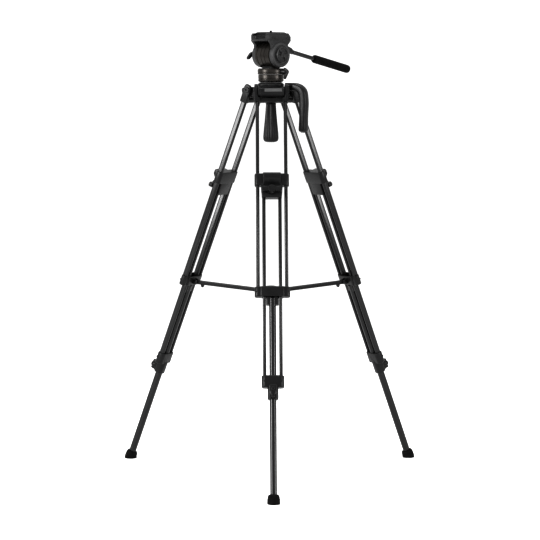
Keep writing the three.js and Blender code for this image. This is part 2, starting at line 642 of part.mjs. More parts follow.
// The bar's own frame: y along the bar from its hinge.
function panBar() {
  const bend = round("y", 4, BAR_LENGTH - 12, [0, 0], BAR_R, BAR_R, 20);
  const eye = round("x", -5.4, 5.6, [0, 0], 8, 8, 24);
  return cut(union(bend, eye), round("x", -10, 10, [0, 0], 3 + GAP, 3 + GAP, 12));
}

function panGrip() {
  const a = BAR_LENGTH - GRIP_LENGTH;
  const b = BAR_LENGTH;
  const profile = [[0, a], [7.5, a], [9.4, a + 2], [GRIP_R, a + 6], [GRIP_R - 0.6, a + 40], [GRIP_R - 0.6, b - 30],
    [GRIP_R, b - 8], [9.4, b - 2.4], [6.5, b], [0, b]];
  const grip = placed(lathe(profile, 20), new THREE.Matrix4().makeBasis(X, Z.clone().negate(), Y));
  return grip.subtract(round("y", a - 1, b - 12 + GAP, [0, 0], BAR_R + GAP, BAR_R + GAP, 20));
}

function panBarKnob() {
  return union(
    round("x", -9, 10, [0, 0], 3, 3, 12),
    round("x", -19, -5.7, [0, 0], 6.5, 7.5, 20),
  );
}

addPiece("head_base", headBase(), "head", headMatrix);
addPiece("pan_body", panBody(), "head", headMatrix);
const knobMatrix = new THREE.Matrix4().makeRotationZ((HEAD_YAW + 12) * DEG);
addPiece("pan_lock_knob", panLockKnob(), "plastic", knobMatrix);
addPiece("tilt_frame", tiltFrame(), "head", headMatrix);
addPiece("tilt_lever", tiltLever(), "plastic", headMatrix);
addPiece("side_knob", sideKnob(), "plastic", headMatrix);
addPiece("plate_lever", plateLever(), "plastic", headMatrix);
addPiece("camera_plate", cameraPlate(), "casting", headMatrix);
addPiece("plate_pad", platePad(), "rubber", headMatrix);
addPiece("camera_screw", cameraScrew(), "steel", headMatrix);
addPiece("pan_bar", panBar(), "tube", barMatrix);
addPiece("pan_bar_knob", panBarKnob(), "plastic", barMatrix);
addPiece("pan_grip", panGrip(), "rubber", barMatrix);

export default root;
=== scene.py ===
"""Video tripod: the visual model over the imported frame. Shapes are drawn in millimetres, then scaled."""
import math

import bmesh
import bpy
from mathutils import Matrix, Vector


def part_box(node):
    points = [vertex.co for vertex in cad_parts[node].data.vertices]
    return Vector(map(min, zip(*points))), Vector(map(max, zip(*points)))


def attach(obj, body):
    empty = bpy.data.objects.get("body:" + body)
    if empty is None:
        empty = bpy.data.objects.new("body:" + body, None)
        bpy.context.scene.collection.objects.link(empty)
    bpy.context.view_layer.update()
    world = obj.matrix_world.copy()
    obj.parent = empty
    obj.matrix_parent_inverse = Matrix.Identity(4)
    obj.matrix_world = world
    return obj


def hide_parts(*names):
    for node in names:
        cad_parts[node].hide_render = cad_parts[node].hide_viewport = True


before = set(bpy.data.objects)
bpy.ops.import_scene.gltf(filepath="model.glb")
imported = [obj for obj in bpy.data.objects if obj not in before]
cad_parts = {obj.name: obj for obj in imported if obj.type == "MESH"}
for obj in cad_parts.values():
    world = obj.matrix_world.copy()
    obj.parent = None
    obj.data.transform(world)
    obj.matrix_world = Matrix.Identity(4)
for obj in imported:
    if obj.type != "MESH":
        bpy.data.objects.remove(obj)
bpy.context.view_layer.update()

# ---- Driving dimensions, in millimetres and degrees ----------------------------------------------
# _R is a radius, _Z a height, _S a distance down the leg from its pivot, _W and _D a tube's two widths.
MM = 0.001
LEGS = {"front": -90, "right": 30, "left": 150}
LEG_ANGLE = 21.4
PIVOT_R, PIVOT_Z = 46, 982
OUTER_X, OUTER_W, OUTER_D = 35.2, 8.5, 15
INNER_X, INNER_W, INNER_D = 19.9, 8.2, 14.5
LOWER_W, LOWER_D = 16.5, 18
CHEEK_IN, CHEEK_OUT, YOKE_END = 33.5, 42.5, 34
BLOCK_S, BLOCK_HALF = 530, 13
CLAMP_S, CLAMP_END, CLAMP_KNOB_S = 225, 288, 270
OUTER_TOP_S, INNER_TOP_S, TUBE_INSET = 26.3, 263.3, 3.4
LOCK_S, LOCK_END, COLLAR_END, LOCK_KNOB_S = 741, 771, 800, 786
GUIDE_S, FOOT_S, FOOT_R = 543, 1033, 15.4
ARM_OFFSET = 20
HUB_R, HUB_Z, HUB_CAP_R = 37, 469.7, 22
LOBE_HALF, LOBE_R = 33, 21
CROWN_TOP, CROWN_BOTTOM = 990, 952.5
BOWL_RIM_TOP = 998
BALL_R, BALL_Z = 30, 1000
HANDLE_AZIMUTH, HANDLE_R, HANDLE_TOP, HANDLE_BOTTOM, HANDLE_HALF = -30, 106, 999.5, 874, 10.5
HEAD_YAW = -47
NECK_R, PAN_R, PAN_Z, LOCK_Z = 32.2, 33.8, 1021, 1027.5
TILT_Z, DRUM_R, DRUM_HALF, DISC_R, SIDE_OUT = 1069.7, 33, 24.5, 30.8, 38
PLATFORM_X, PLATFORM_Y, PLATFORM_BOTTOM, PLATFORM_TOP = 30.75, 41, 1104, 1124.5
SLOT_FLOOR, SCREW_HEAD_TOP, PLATE_TOP, PAD_TOP = 1118.4, 1122.6, 1126, 1127.2
LATCH = Vector((-12.9, -39.7, 1114.3))
BAR_X, BAR_Y, BAR_Z, BAR_DROP, BAR_R, BAR_LENGTH = 19, 41, 1081, 12, 5.2, 227
GRIP_LENGTH, GRIP_R = 133, 10.5
PAN_LOCK_TURN = 12
SCREW_TIP = 1131.5

# ---- View and light, in metres, degrees and watts ------------------------------------------------
CAMERA_DISTANCE, CAMERA_HEIGHT, CAMERA_SIDE = 5.61, 1.017, 0.0023
CAMERA_TURN, CAMERA_DIP = 0.87, 5.04
SENSOR_WIDTH, FOCAL_LENGTH = 36, 146.7
GAMMA, SKY_STRENGTH = 0.66, 1.2
FLOOR_R, FLOOR_DROP = 400, 0.0005
LAMP_AIM_Z = 0.6

# The tripod's axis stands where the frame has the levelling grip, which is round about it.
grip_low, grip_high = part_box("levelling_grip")
AXIS = Vector((0, (grip_low[1] + grip_high[1]) / 2, 0))
X, Y, Z = Vector((1, 0, 0)), Vector((0, 1, 0)), Vector((0, 0, 1))


# ---- Materials -----------------------------------------------------------------------------------
class Finish:
    """A procedural material built up node by node."""

    def __init__(self, name, color, roughness, metallic=0.0, specular=0.5):
        self.material = bpy.data.materials.new(name)
        self.material.use_nodes = True
        self.nodes = self.material.node_tree.nodes
        self.links = self.material.node_tree.links
        self.shader = self.nodes["Principled BSDF"]
        self.color = color
        self.roughness = roughness
        self.shader.inputs["Base Color"].default_value = (*color, 1)
        self.shader.inputs["Roughness"].default_value = roughness
        self.shader.inputs["Metallic"].default_value = metallic
        self.shader.inputs["Specular IOR Level"].default_value = specular
        own = self.nodes.new("ShaderNodeAttribute")
        own.attribute_name = "own_place"
        self.place = own.outputs["Vector"]
        self.bumped = None

    def noise(self, scale, detail=3.0, stretch=(1, 1, 1)):
        mapping = self.nodes.new("ShaderNodeMapping")
        mapping.inputs["Scale"].default_value = stretch
        self.links.new(self.place, mapping.inputs["Vector"])
        noise = self.nodes.new("ShaderNodeTexNoise")
        noise.inputs["Scale"].default_value = scale
        noise.inputs["Detail"].default_value = detail
        self.links.new(mapping.outputs["Vector"], noise.inputs["Vector"])
        return noise.outputs["Fac"]

    def remap(self, source, low, high, start=0.3, end=0.7):
        node = self.nodes.new("ShaderNodeMapRange")
        node.inputs["From Min"].default_value = start
        node.inputs["From Max"].default_value = end
        node.inputs["To Min"].default_value = low
        node.inputs["To Max"].default_value = high
        self.links.new(source, node.inputs["Value"])
        return node.outputs["Result"]

    def vary_roughness(self, source, spread):
        value = self.remap(source, self.roughness - spread, self.roughness + spread)
        self.links.new(value, self.shader.inputs["Roughness"])
        return self

    def vary_color(self, source, other, start=0.35, end=0.65):
        mix = self.nodes.new("ShaderNodeMix")
        mix.data_type = "RGBA"
        current = self.shader.inputs["Base Color"]
        if current.is_linked:
            self.links.new(current.links[0].from_socket, mix.inputs[6])
        else:
            mix.inputs[6].default_value = (*self.color, 1)
        mix.inputs[7].default_value = (*other, 1)
        self.links.new(self.remap(source, 0, 1, start, end), mix.inputs[0])
        self.links.new(mix.outputs[2], current)
        return self

    def bump(self, source, strength, distance):
        node = self.nodes.new("ShaderNodeBump")
        node.inputs["Strength"].default_value = strength
        node.inputs["Distance"].default_value = distance
        self.links.new(source, node.inputs["Height"])
        if self.bumped is not None:
            self.links.new(self.bumped, node.inputs["Normal"])
        self.bumped = node.outputs["Normal"]
        self.links.new(self.bumped, self.shader.inputs["Normal"])
        return self

    def worn_edges(self, other, radius=0.0012, start=0.88, end=0.97):
        """Convex edges show the paint rubbed thin: the bevelled normal leaves the true one there."""
        bevel = self.nodes.new("ShaderNodeBevel")
        bevel.samples = 4
        bevel.inputs["Radius"].default_value = radius
        geometry = self.nodes.new("ShaderNodeNewGeometry")
        dot = self.nodes.new("ShaderNodeVectorMath")
        dot.operation = "DOT_PRODUCT"
        self.links.new(bevel.outputs["Normal"], dot.inputs[0])
        self.links.new(geometry.outputs["Normal"], dot.inputs[1])
        return self.vary_color(dot.outputs["Value"], other, end, start)


def tube_finish():
    f = Finish("anodised_tube", (0.004, 0.004, 0.0043), 0.26, specular=0.5)
    drawn = f.noise(900, 4, stretch=(1, 1, 0.012))
    patches = f.noise(28, 3)
    f.vary_roughness(drawn, 0.09)
    f.vary_color(patches, (0.005, 0.005, 0.0055))
    return f.bump(drawn, 0.12, 0.0002).material


def casting_finish():
    f = Finish("painted_casting", (0.006, 0.006, 0.0063), 0.36, specular=0.28)
    f.vary_color(f.noise(60, 4), (0.01, 0.01, 0.0105))
    f.vary_roughness(f.noise(240, 3), 0.07)
    f.worn_edges((0.03, 0.03, 0.03))
    return f.bump(f.noise(1600, 2), 0.18, 0.0003).material


def plastic_finish():
    f = Finish("moulded_plastic", (0.007, 0.007, 0.0072), 0.36, specular=0.3)
    f.vary_color(f.noise(45, 3), (0.011, 0.011, 0.0114))
    f.vary_roughness(f.noise(300, 3), 0.06)
    return f.bump(f.noise(2600, 2), 0.22, 0.00025).material


def rubber_finish():
    f = Finish("rubber", (0.004, 0.004, 0.004), 0.66, specular=0.12)
    f.vary_color(f.noise(120, 4), (0.008, 0.0078, 0.0076))
    f.vary_roughness(f.noise(500, 3), 0.08)
    return f.bump(f.noise(1900, 3), 0.35, 0.0004).material


def steel_finish():
    f = Finish("bright_steel", (0.48, 0.475, 0.46), 0.3, metallic=1.0)
    f.vary_roughness(f.noise(700, 4), 0.1)
    f.vary_color(f.noise(90, 3), (0.4, 0.395, 0.38))
    return f.bump(f.noise(1500, 3), 0.1, 0.0001).material


def head_finish():
    f = Finish("head_paint", (0.02, 0.02, 0.0204), 0.38, specular=0.3)
    f.vary_color(f.noise(50, 3), (0.027, 0.027, 0.0275))
    f.vary_roughness(f.noise(260, 3), 0.06)
    f.worn_edges((0.075, 0.075, 0.075))
    return f.bump(f.noise(1500, 2), 0.16, 0.0003).material


def drum_finish():
    f = Finish("turned_drum", (0.035, 0.032, 0.029), 0.34, metallic=0.7, specular=0.4)
    f.vary_roughness(f.noise(420, 3, stretch=(3, 1, 1)), 0.07)
    f.vary_color(f.noise(40, 3), (0.05, 0.046, 0.042))
    return f.bump(f.noise(900, 2, stretch=(4, 1, 1)), 0.08, 0.0002).material


def disc_finish():
    f = Finish("side_disc", (0.04, 0.04, 0.0405), 0.45, specular=0.3)
    f.vary_color(f.noise(60, 3), (0.05, 0.05, 0.0505))
    f.vary_roughness(f.noise(300, 3), 0.06)
    return f.bump(f.noise(1700, 2), 0.2, 0.0003).material


def label_finish():
    f = Finish("blank_label", (0.075, 0.075, 0.075), 0.4, specular=0.3)
    f.vary_color(f.noise(80, 3, stretch=(1, 1, 3)), (0.1, 0.1, 0.1))
    return f.bump(f.noise(1200, 2), 0.1, 0.0002).material


TUBE = tube_finish()
CASTING = casting_finish()
PLASTIC = plastic_finish()
RUBBER = rubber_finish()
STEEL = steel_finish()
HEAD = head_finish()
DRUM = drum_finish()
DISC = disc_finish()
LABEL = label_finish()


# ---- Outlines: lists of points in a plane --------------------------------------------------------
def arc(cu, cv, r, start, end, n):
    """n steps round a centre, from one angle to another."""
    angles = [math.radians(start + (end - start) * i / n) for i in range(n + 1)]
    return [(cu + r * math.cos(a), cv + r * math.sin(a)) for a in angles]


def rounded(w, h, r, cu=0, cv=0, n=5):
    """A rectangle with round corners."""
    u, v = w / 2 - r, h / 2 - r
    return (arc(cu + u, cv + v, r, 0, 90, n) + arc(cu - u, cv + v, r, 90, 180, n)
            + arc(cu - u, cv - v, r, 180, 270, n) + arc(cu + u, cv - v, r, 270, 360, n))


def swapped(outline):
    """The outline with its two directions exchanged."""
    return [(v, u) for u, v in outline]


def on_side(side, profile):
    """A profile on the positive or the negative side of its axis."""
    return [(r, side * h) for r, h in profile]


# ---- Shells: closed meshes, in millimetres, gathered into pieces ---------------------------------
AXES = {
    "x": Matrix((Y, Z, X)).transposed().to_4x4(),
    "y": Matrix((Z, X, Y)).transposed().to_4x4(),
    "z": Matrix.Identity(4),
}


def softened(bm, width, segments=2, angle=32):
    """Rounds every edge that turns more than an angle."""
    edges = [e for e in bm.edges if len(e.link_faces) == 2 and e.calc_face_angle(0) > math.radians(angle)]
    if edges and width > 0:
        bmesh.ops.bevel(bm, geom=edges, offset=width, offset_type="OFFSET", segments=segments,
                        profile=0.5, affect="EDGES", clamp_overlap=True)
    return bm


def prism(outline, a, b, axis="z", soft=0.6, segments=2):
    """An outline pushed along an axis. "z" draws in x, y; "x" draws in y, z; "y" draws in z, x."""
    bm = bmesh.new()
    low = [bm.verts.new((u, v, a)) for u, v in outline]
    high = [bm.verts.new((u, v, b)) for u, v in outline]
    bm.faces.new(low[::-1])
    bm.faces.new(high)
    for i in range(len(outline)):
        j = (i + 1) % len(outline)
        bm.faces.new((low[i], low[j], high[j], high[i]))
    bmesh.ops.recalc_face_normals(bm, faces=bm.faces)
    softened(bm, soft, segments)
    bm.transform(AXES[axis])
    return bm


def lathe(profile, axis="z", at=(0, 0), steps=48, flutes=0, depth=0.0):
    """[radius, height] points turned about an axis; flutes cut shallow hollows round it."""
    bm = bmesh.new()
    rings = []
    for r, h in profile:
        if r == 0:
            rings.append([bm.verts.new((0, 0, h))])
            continue
        ring = []
        for i in range(steps):
            a = 2 * math.pi * i / steps
            dip = depth * (0.5 - 0.5 * math.cos(flutes * a)) if flutes else 0
            ring.append(bm.verts.new(((r - dip) * math.cos(a), (r - dip) * math.sin(a), h)))
        rings.append(ring)
    for one, two in zip(rings, rings[1:]):
        for i in range(steps):
            j = (i + 1) % steps
            if len(one) == 1:
                bm.faces.new((one[0], two[j], two[i]))
            elif len(two) == 1:
                bm.faces.new((one[i], one[j], two[0]))
            else:
                bm.faces.new((one[i], one[j], two[j], two[i]))
    bmesh.ops.recalc_face_normals(bm, faces=bm.faces)
    bm.transform(AXES[axis])
    shift = {"x": (0, at[0], at[1]), "y": (at[0], 0, at[1]), "z": (at[0], at[1], 0)}[axis]
    bm.transform(Matrix.Translation(shift))
    return bm


def rod(r, a, b, axis="z", at=(0, 0), soft=0.6, steps=32, r_end=None):
    """A round bar with its end edges eased."""
    q = r if r_end is None else r_end
    profile = [(0, a), (r - soft, a), (r - soft * 0.3, a + soft * 0.3), (r, a + soft), (q, b - soft),
               (q - soft * 0.3, b - soft * 0.3), (q - soft, b), (0, b)]
    return lathe(profile, axis, at, steps)


def oval_tube(x, w, d, a, b, wall=1.2):
    """An open-ended flat-oval tube along z."""
    bm = bmesh.new()
    r = w / 2 - 0.3
    sides = [rounded(w, d, r, x, 0, 6), rounded(w - 2 * wall, d - 2 * wall, r - wall, x, 0, 6)]
    lip = 0.35
    loops = []
    for outline, inset, z in ((sides[0], 0, a + lip), (sides[0], 0, b - lip), (sides[0], lip, b),
                              (sides[1], 0, b), (sides[1], 0, a), (sides[0], lip, a)):
        ring = []
        for u, v in outline:
            k = 1 - inset / max(w, d)
            ring.append(bm.verts.new((x + (u - x) * k, v * k, z)))
        loops.append(ring)
    for one, two in zip(loops, loops[1:] + loops[:1]):
        for i in range(len(one)):
            j = (i + 1) % len(one)
            bm.faces.new((one[i], one[j], two[j], two[i]))
    bmesh.ops.recalc_face_normals(bm, faces=bm.faces)
    return bm


def moved(bm, matrix):
    """The shell itself, put in another place."""
    bm.transform(matrix)
    return bm


def turned(bm, degrees, axis="Z"):
    """The shell itself, turned about an axis."""
    bm.transform(Matrix.Rotation(math.radians(degrees), 4, axis))
    return bm


def object_of(bm):
    """A passing object that holds a shell for the cuts."""
    mesh = bpy.data.meshes.new("shell")
    bm.to_mesh(mesh)
    bm.free()
    ob = bpy.data.objects.new("shell", mesh)
    bpy.context.scene.collection.objects.link(ob)
    return ob


def carved(bm, *tools, join=False):
    """The shell with each tool taken away from it, or joined on."""
    base = object_of(bm)
    extra = [object_of(t) for t in tools]
    for tool in extra:
        mod = base.modifiers.new("cut", "BOOLEAN")
        mod.operation = "UNION" if join else "DIFFERENCE"
        mod.solver = "EXACT"
        mod.object = tool
    evaluated = base.evaluated_get(bpy.context.evaluated_depsgraph_get())
    out = bmesh.new()
    out.from_mesh(evaluated.to_mesh())
    evaluated.to_mesh_clear()
    for ob in [base, *extra]:
        bpy.data.objects.remove(ob)
    return out


def keep_own_place(mesh):
    """Stores each point's place in the piece's own frame, which the materials' grain follows."""
    own = mesh.attributes.new("own_place", "FLOAT_VECTOR", "POINT")
    own.data.foreach_set("vector", [c for v in mesh.vertices for c in v.co])


def piece(name, shells, material, body, nodes, matrix):
    """One object from shells, or from (shell, material) pairs, placed and riding on a body."""
    mesh = bpy.data.meshes.new(name)
    materials = []
    whole = bmesh.new()
    for entry in shells:
        bm, own = entry if isinstance(entry, tuple) else (entry, material)
        if own not in materials:
            materials.append(own)
        for face in bm.faces:
            face.material_index = materials.index(own)
            face.smooth = True
        part = bpy.data.meshes.new("part")
        bm.to_mesh(part)
        whole.from_mesh(part)
        bpy.data.meshes.remove(part)
        bm.free()
    bmesh.ops.scale(whole, vec=(MM, MM, MM), verts=whole.verts)
    whole.to_mesh(mesh)
    whole.free()
    for own in materials:
        mesh.materials.append(own)
    mesh.set_sharp_from_angle(angle=math.radians(38))
    keep_own_place(mesh)
    place = matrix.copy()
    place.translation = matrix.translation * MM + AXIS
    mesh.transform(place)
    ob = bpy.data.objects.new(name, mesh)
    bpy.context.scene.collection.objects.link(ob)
    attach(ob, body)
    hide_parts(*nodes)


def node_piece(node, shells, material, matrix=Matrix.Identity(4), body=None):
    """The piece for one node, on the body of the same name unless another is given."""
    piece(f"{node}_piece", shells, material, body or node, [node], matrix)


# ---- Frames --------------------------------------------------------------------------------------
def leg_matrix(azimuth):
    """x across the leg, y outwards, z down the leg from its pivot."""
    a, t = math.radians(azimuth), math.radians(LEG_ANGLE)
    out = Vector((math.cos(a), math.sin(a), 0))
    across = Vector((-math.sin(a), math.cos(a), 0))
    normal = out * math.cos(t) + Z * math.sin(t)
    down = out * math.sin(t) - Z * math.cos(t)
    m = Matrix((across, normal, down)).transposed().to_4x4()
    m.translation = out * PIVOT_R + Z * PIVOT_Z
    return m


def arm_matrix(azimuth):
    """x across, y from the block's pivot towards the hub's."""
    a, t = math.radians(azimuth), math.radians(LEG_ANGLE)
    out = Vector((math.cos(a), math.sin(a), 0))
    across = Vector((-math.sin(a), math.cos(a), 0))
    r = PIVOT_R + BLOCK_S * math.sin(t) - ARM_OFFSET * math.cos(t)
    z = PIVOT_Z - BLOCK_S * math.cos(t) - ARM_OFFSET * math.sin(t)
    along = out * (HUB_R - r) + Z * (HUB_Z - z)
    length = along.length
    along.normalize()
    m = Matrix((across, along, across.cross(along))).transposed().to_4x4()
    m.translation = out * r + Z * z
    return m, length


HANDLE_FRAME = Matrix.Rotation(math.radians(HANDLE_AZIMUTH), 4, "Z")
HEAD_FRAME = Matrix.Rotation(math.radians(HEAD_YAW), 4, "Z")
KNOB_FRAME = HEAD_FRAME @ Matrix.Rotation(math.radians(PAN_LOCK_TURN), 4, "Z")
BAR_FRAME = (HEAD_FRAME @ Matrix.Translation((BAR_X, BAR_Y, BAR_Z))
             @ Matrix.Rotation(math.radians(-BAR_DROP), 4, "X"))


# ---- Small fittings ------------------------------------------------------------------------------
def screw_head(at, axis, top, r=2.6):
    """A cap screw with a round recess, its face at top along the axis."""
    h = abs(top)
    profile = [(0, h - 1.4), (r * 0.5, h - 1.4), (r * 0.56, h - 0.2), (r * 0.62, h), (r - 0.4, h),
               (r, h - 0.4), (r, h - 2.4), (0, h - 2.4)]
    return lathe(on_side(math.copysign(1, top), profile), axis, at, 20)


# ---- Legs ----------------------------------------------------------------------------------------
def yoke():
    """Two cheeks on the lobe's pivot, the bar between them and a socket for each outer tube."""
    cheek = [(9.7, YOKE_END), (10.9, -7), (8, -13.4), (-4, -12.4), (-9.5, -4), (-9.7, YOKE_END)]
    wall = OUTER_X - OUTER_W / 2 - 2.5
    shells = [prism(rounded(11.8, 11.3, 2.5, 0, 28.2), -wall, wall, "x", 0.8)]
    for side in (-1, 1):
        a, b = sorted((side * CHEEK_IN, side * CHEEK_OUT))
        shells.append(prism(cheek, a, b, "x", 2.2, 4))
        c, d = sorted((side * (wall - 0.4), side * 42.4))
        socket = prism(rounded(19.4, 11.5, 3, 0, 28.2), c, d, "x", 1.3, 3)
        shells.append(carved(socket, oval_hole(side * OUTER_X, OUTER_W, OUTER_D, 26, YOKE_END + 2)))
        shells.append(screw_head((0, 26), "x", side * 43.1))
    return shells


def oval_hole(x, w, d, a, b):
    """The cutter for a flat-oval tube's hole, with a little room round the tube."""
    return prism(rounded(w + 0.6, d + 0.6, w / 2 - 0.2, x, 0, 5), a, b, "z", 0)


def hinge_bolt():
    shells = [rod(4, -43.5, 43.5, "x")]
    head = [(0, 43.4), (2.6, 43.4), (2.9, 45.2), (3.3, 45.6), (6.2, 45.6), (7, 44.8), (7.4, 42.9),
            (0, 42.9)]
    for side in (-1, 1):
        shells.append(lathe(on_side(side, head), "x", (0, 0), 28))
    return shells


def spreader_block():
    """The block across the outer tubes' lower ends, with the ears that carry the spreader's arm."""
    a, b = BLOCK_S - BLOCK_HALF, BLOCK_S + BLOCK_HALF
    body = prism(rounded(87, 18, 8.9, 0, 0, 8), a, b, "z", 2.2, 3)
    middle = prism(rounded(62, 25, 6, 0, 0, 6), a + 0.4, b - 0.4, "z", 2.0, 3)
    slot = prism(rounded(49.6, 18.8, 7, 0, 0, 5), a - 2, b + 2, "z", 0)
    holes = [oval_hole(s * OUTER_X, OUTER_W, OUTER_D, a - 2, b - 3) for s in (-1, 1)]
    shells = [carved(carved(body, middle, join=True), slot, *holes)]
    pin_end = [(0, 8.4), (3.2, 8.4), (3.2, 9.2), (2.4, 9.8), (0, 9.8)]
    for side in (-1, 1):
        c, d = sorted((side * 4.6, side * 8.6))
        ear = [(-11, BLOCK_S - 7), (-11, BLOCK_S + 7)] + arc(-ARM_OFFSET, BLOCK_S, 5.5, 90, 270, 8)
        shells.append(prism(ear, c, d, "x", 0.7))
        shells.append((lathe(on_side(side, pin_end), "x", (-ARM_OFFSET, BLOCK_S), 20), CASTING))
        shells.append((screw_head((side * 39.4, BLOCK_S), "y", 8.6, 2.2), CASTING))
    shells.append((rod(2.2, -8, 8, "x", (-ARM_OFFSET, BLOCK_S), 0.3, 16), STEEL))
    return shells


def upper_clamp():
    """The clamp that slides on the outer tubes and holds the inner ones."""
    a, end = CLAMP_S, CLAMP_S + 31
    sleeve = prism(rounded(85.6, 19.6, 8, 0, 0, 7), a, end, "z", 1.8, 3)
    web = [(end - 3, -26.5), (end - 3, 26.5), (end + 8, 26.5), (CLAMP_END - 2, 24.6), (CLAMP_END, 22),
           (CLAMP_END, -22), (CLAMP_END - 2, -24.6), (end + 8, -26.5)]
    block = prism(web, -9.4, 10.8, "y", 1.8, 3)
    boss = [(0, a + 1), (21, a + 1), (25.3, a + 5), (25.3, a + 15.5), (22.5, a + 19), (12, a + 30.6),
            (0, a + 30.6)]
    nose = prism(boss, -22.3, 22.3, "x", 2.6, 4)
    body = carved(sleeve, block, nose, join=True)
    holes = [oval_hole(s * OUTER_X, OUTER_W, OUTER_D, a - 2, end + 2) for s in (-1, 1)]
    holes += [oval_hole(s * INNER_X, INNER_W, INNER_D, end + 7, CLAMP_END + 2) for s in (-1, 1)]
    panel = prism(rounded(30, 7.5, 2.5, 0, a + 10), 24.6, 30, "y", 0)
    shells = [carved(body, *holes, panel)]
    shells.append(rod(8.8, 9, 13.5, "y", (0, CLAMP_KNOB_S), 0.7))
    for side in (-1, 1):
        shells.append((screw_head((side * 33.5, a + 15.5), "y", 10.2, 2.6), CASTING))
    return shells


def wing_knob(s, foot, face, hub, span, thick, stud, turn=0):
    """A hub with two wings that thicken to rounded ends, on a stud along y."""
    r = thick / 2
    tip = span - r * 1.2
    half = [(r * 0.75, 0), (r * 0.8, tip * 0.45), (r * 1.2, tip)]
    wing = half + arc(0, tip, r * 1.2, 0, 180, 8)[1:-1] + [(-u, v) for u, v in half[::-1]]
    other = [(-u, -v) for u, v in wing]
    shells = [rod(hub, foot, face - 1, "y", (0, 0), 1.2, 36, hub * 0.86)]
    for outline in (wing, other):
        shells.append(prism(outline, foot + 1.8, face - 2.2, "y", 1.5, 3))
    cap = [(0, face - 1.4), (hub * 0.72, face - 1.4), (hub * 0.66, face - 0.4), (hub * 0.4, face), (0, face)]
    shells.append(lathe(cap, "y", (0, 0), 32))
    for bm in shells:
        turned(bm, turn, "Y")
    shells.append((rod(stud, foot - 15, foot + 2, "y", (0, 0), 0.3, 16), STEEL))
    for entry in shells:
        bm = entry[0] if isinstance(entry, tuple) else entry
        moved(bm, Matrix.Translation((0, 0, s)))
    return shells


def lower_clamp():
    """The clamp across the inner tubes' ends, with the collar that grips the lower tube."""
    a, b = LOCK_S, LOCK_END
    body = prism(rounded(54.8, 22, 10, 0, 0, 8), a, b, "z", 2.2, 3)
    collar = prism(rounded(26.3, 25.4, 10, 0, 0.4, 7), b - 4, COLLAR_END, "z", 1.8, 3)
    nose = prism(rounded(20.8, 14, 4, 0, 8.4, 5), b - 6, COLLAR_END - 3, "z", 1.6, 3)
    whole = carved(body, collar, nose, join=True)
    holes = [oval_hole(s * INNER_X, INNER_W, INNER_D, a - 2, b - 3) for s in (-1, 1)]
    holes.append(prism(rounded(LOWER_W + 0.6, LOWER_D + 0.6, 7.6, 0, 0, 7), a - 2, COLLAR_END + 2, "z", 0))
    shells = [carved(whole, *holes)]
    for side in (-1, 1):
        shells.append((screw_head((side * 19.9, a + 15), "y", 11.6, 2.6), CASTING))
    return shells


def lower_tube():
    """The single tube and the guide at its head, which runs between the inner tubes."""
    a, b = GUIDE_S, FOOT_S + 8
    outer = rounded(LOWER_W, LOWER_D, 7.6, 0, 0, 8)
    inner = rounded(LOWER_W - 2.6, LOWER_D - 2.6, 6.3, 0, 0, 8)
    tube = carved(prism(outer, a + 4, b, "z", 0), prism(inner, a - 2, b + 2, "z", 0))
    guide = prism(rounded(30.4, 14, 4, 0, 0, 5), a, a + 20, "z", 1.2, 3)
    return [tube, (carved(guide, prism(inner, a - 2, a + 30, "z", 0)), PLASTIC)]


def foot():
    """A rubber boot, cut off flat where it stands on the ground."""
    s = FOOT_S
    profile = [(0, s + 1), (8.7, s + 1), (11.2, s), (12.2, s + 0.5), (13.6, s + 2.4), (14.5, s + 5.4),
               (14.9, s + 7), (14.3, s + 7.8), (14.3, s + 8.8), (FOOT_R - 0.3, s + 9.6), (FOOT_R, s + 12),
               (FOOT_R, s + 18), (FOOT_R - 0.3, s + 22), (13.2, s + 27.5), (9, s + 31.5), (0, s + 33)]
    bm = lathe(profile, "z", (0, 0), 48)
    t = math.radians(LEG_ANGLE)
    up = Vector((0, math.sin(t), -math.cos(t)))
    ground = up * (-PIVOT_Z)
    geom = bm.verts[:] + bm.edges[:] + bm.faces[:]
    cut = bmesh.ops.bisect_plane(bm, geom=geom, plane_co=ground, plane_no=-up, clear_outer=True)
    edges = [e for e in cut["geom_cut"] if isinstance(e, bmesh.types.BMEdge)]
    bmesh.ops.holes_fill(bm, edges=edges)
    return [bm]


def leg_piece(leg, name, node, shells, material, body):
    """One piece of a leg, in place of one of the leg's nodes."""
    start = f"leg_{leg}_"
    place = leg_matrix(LEGS[leg])
    piece(f"{start}{name}_piece", shells, material, start + body, [start + node], place)


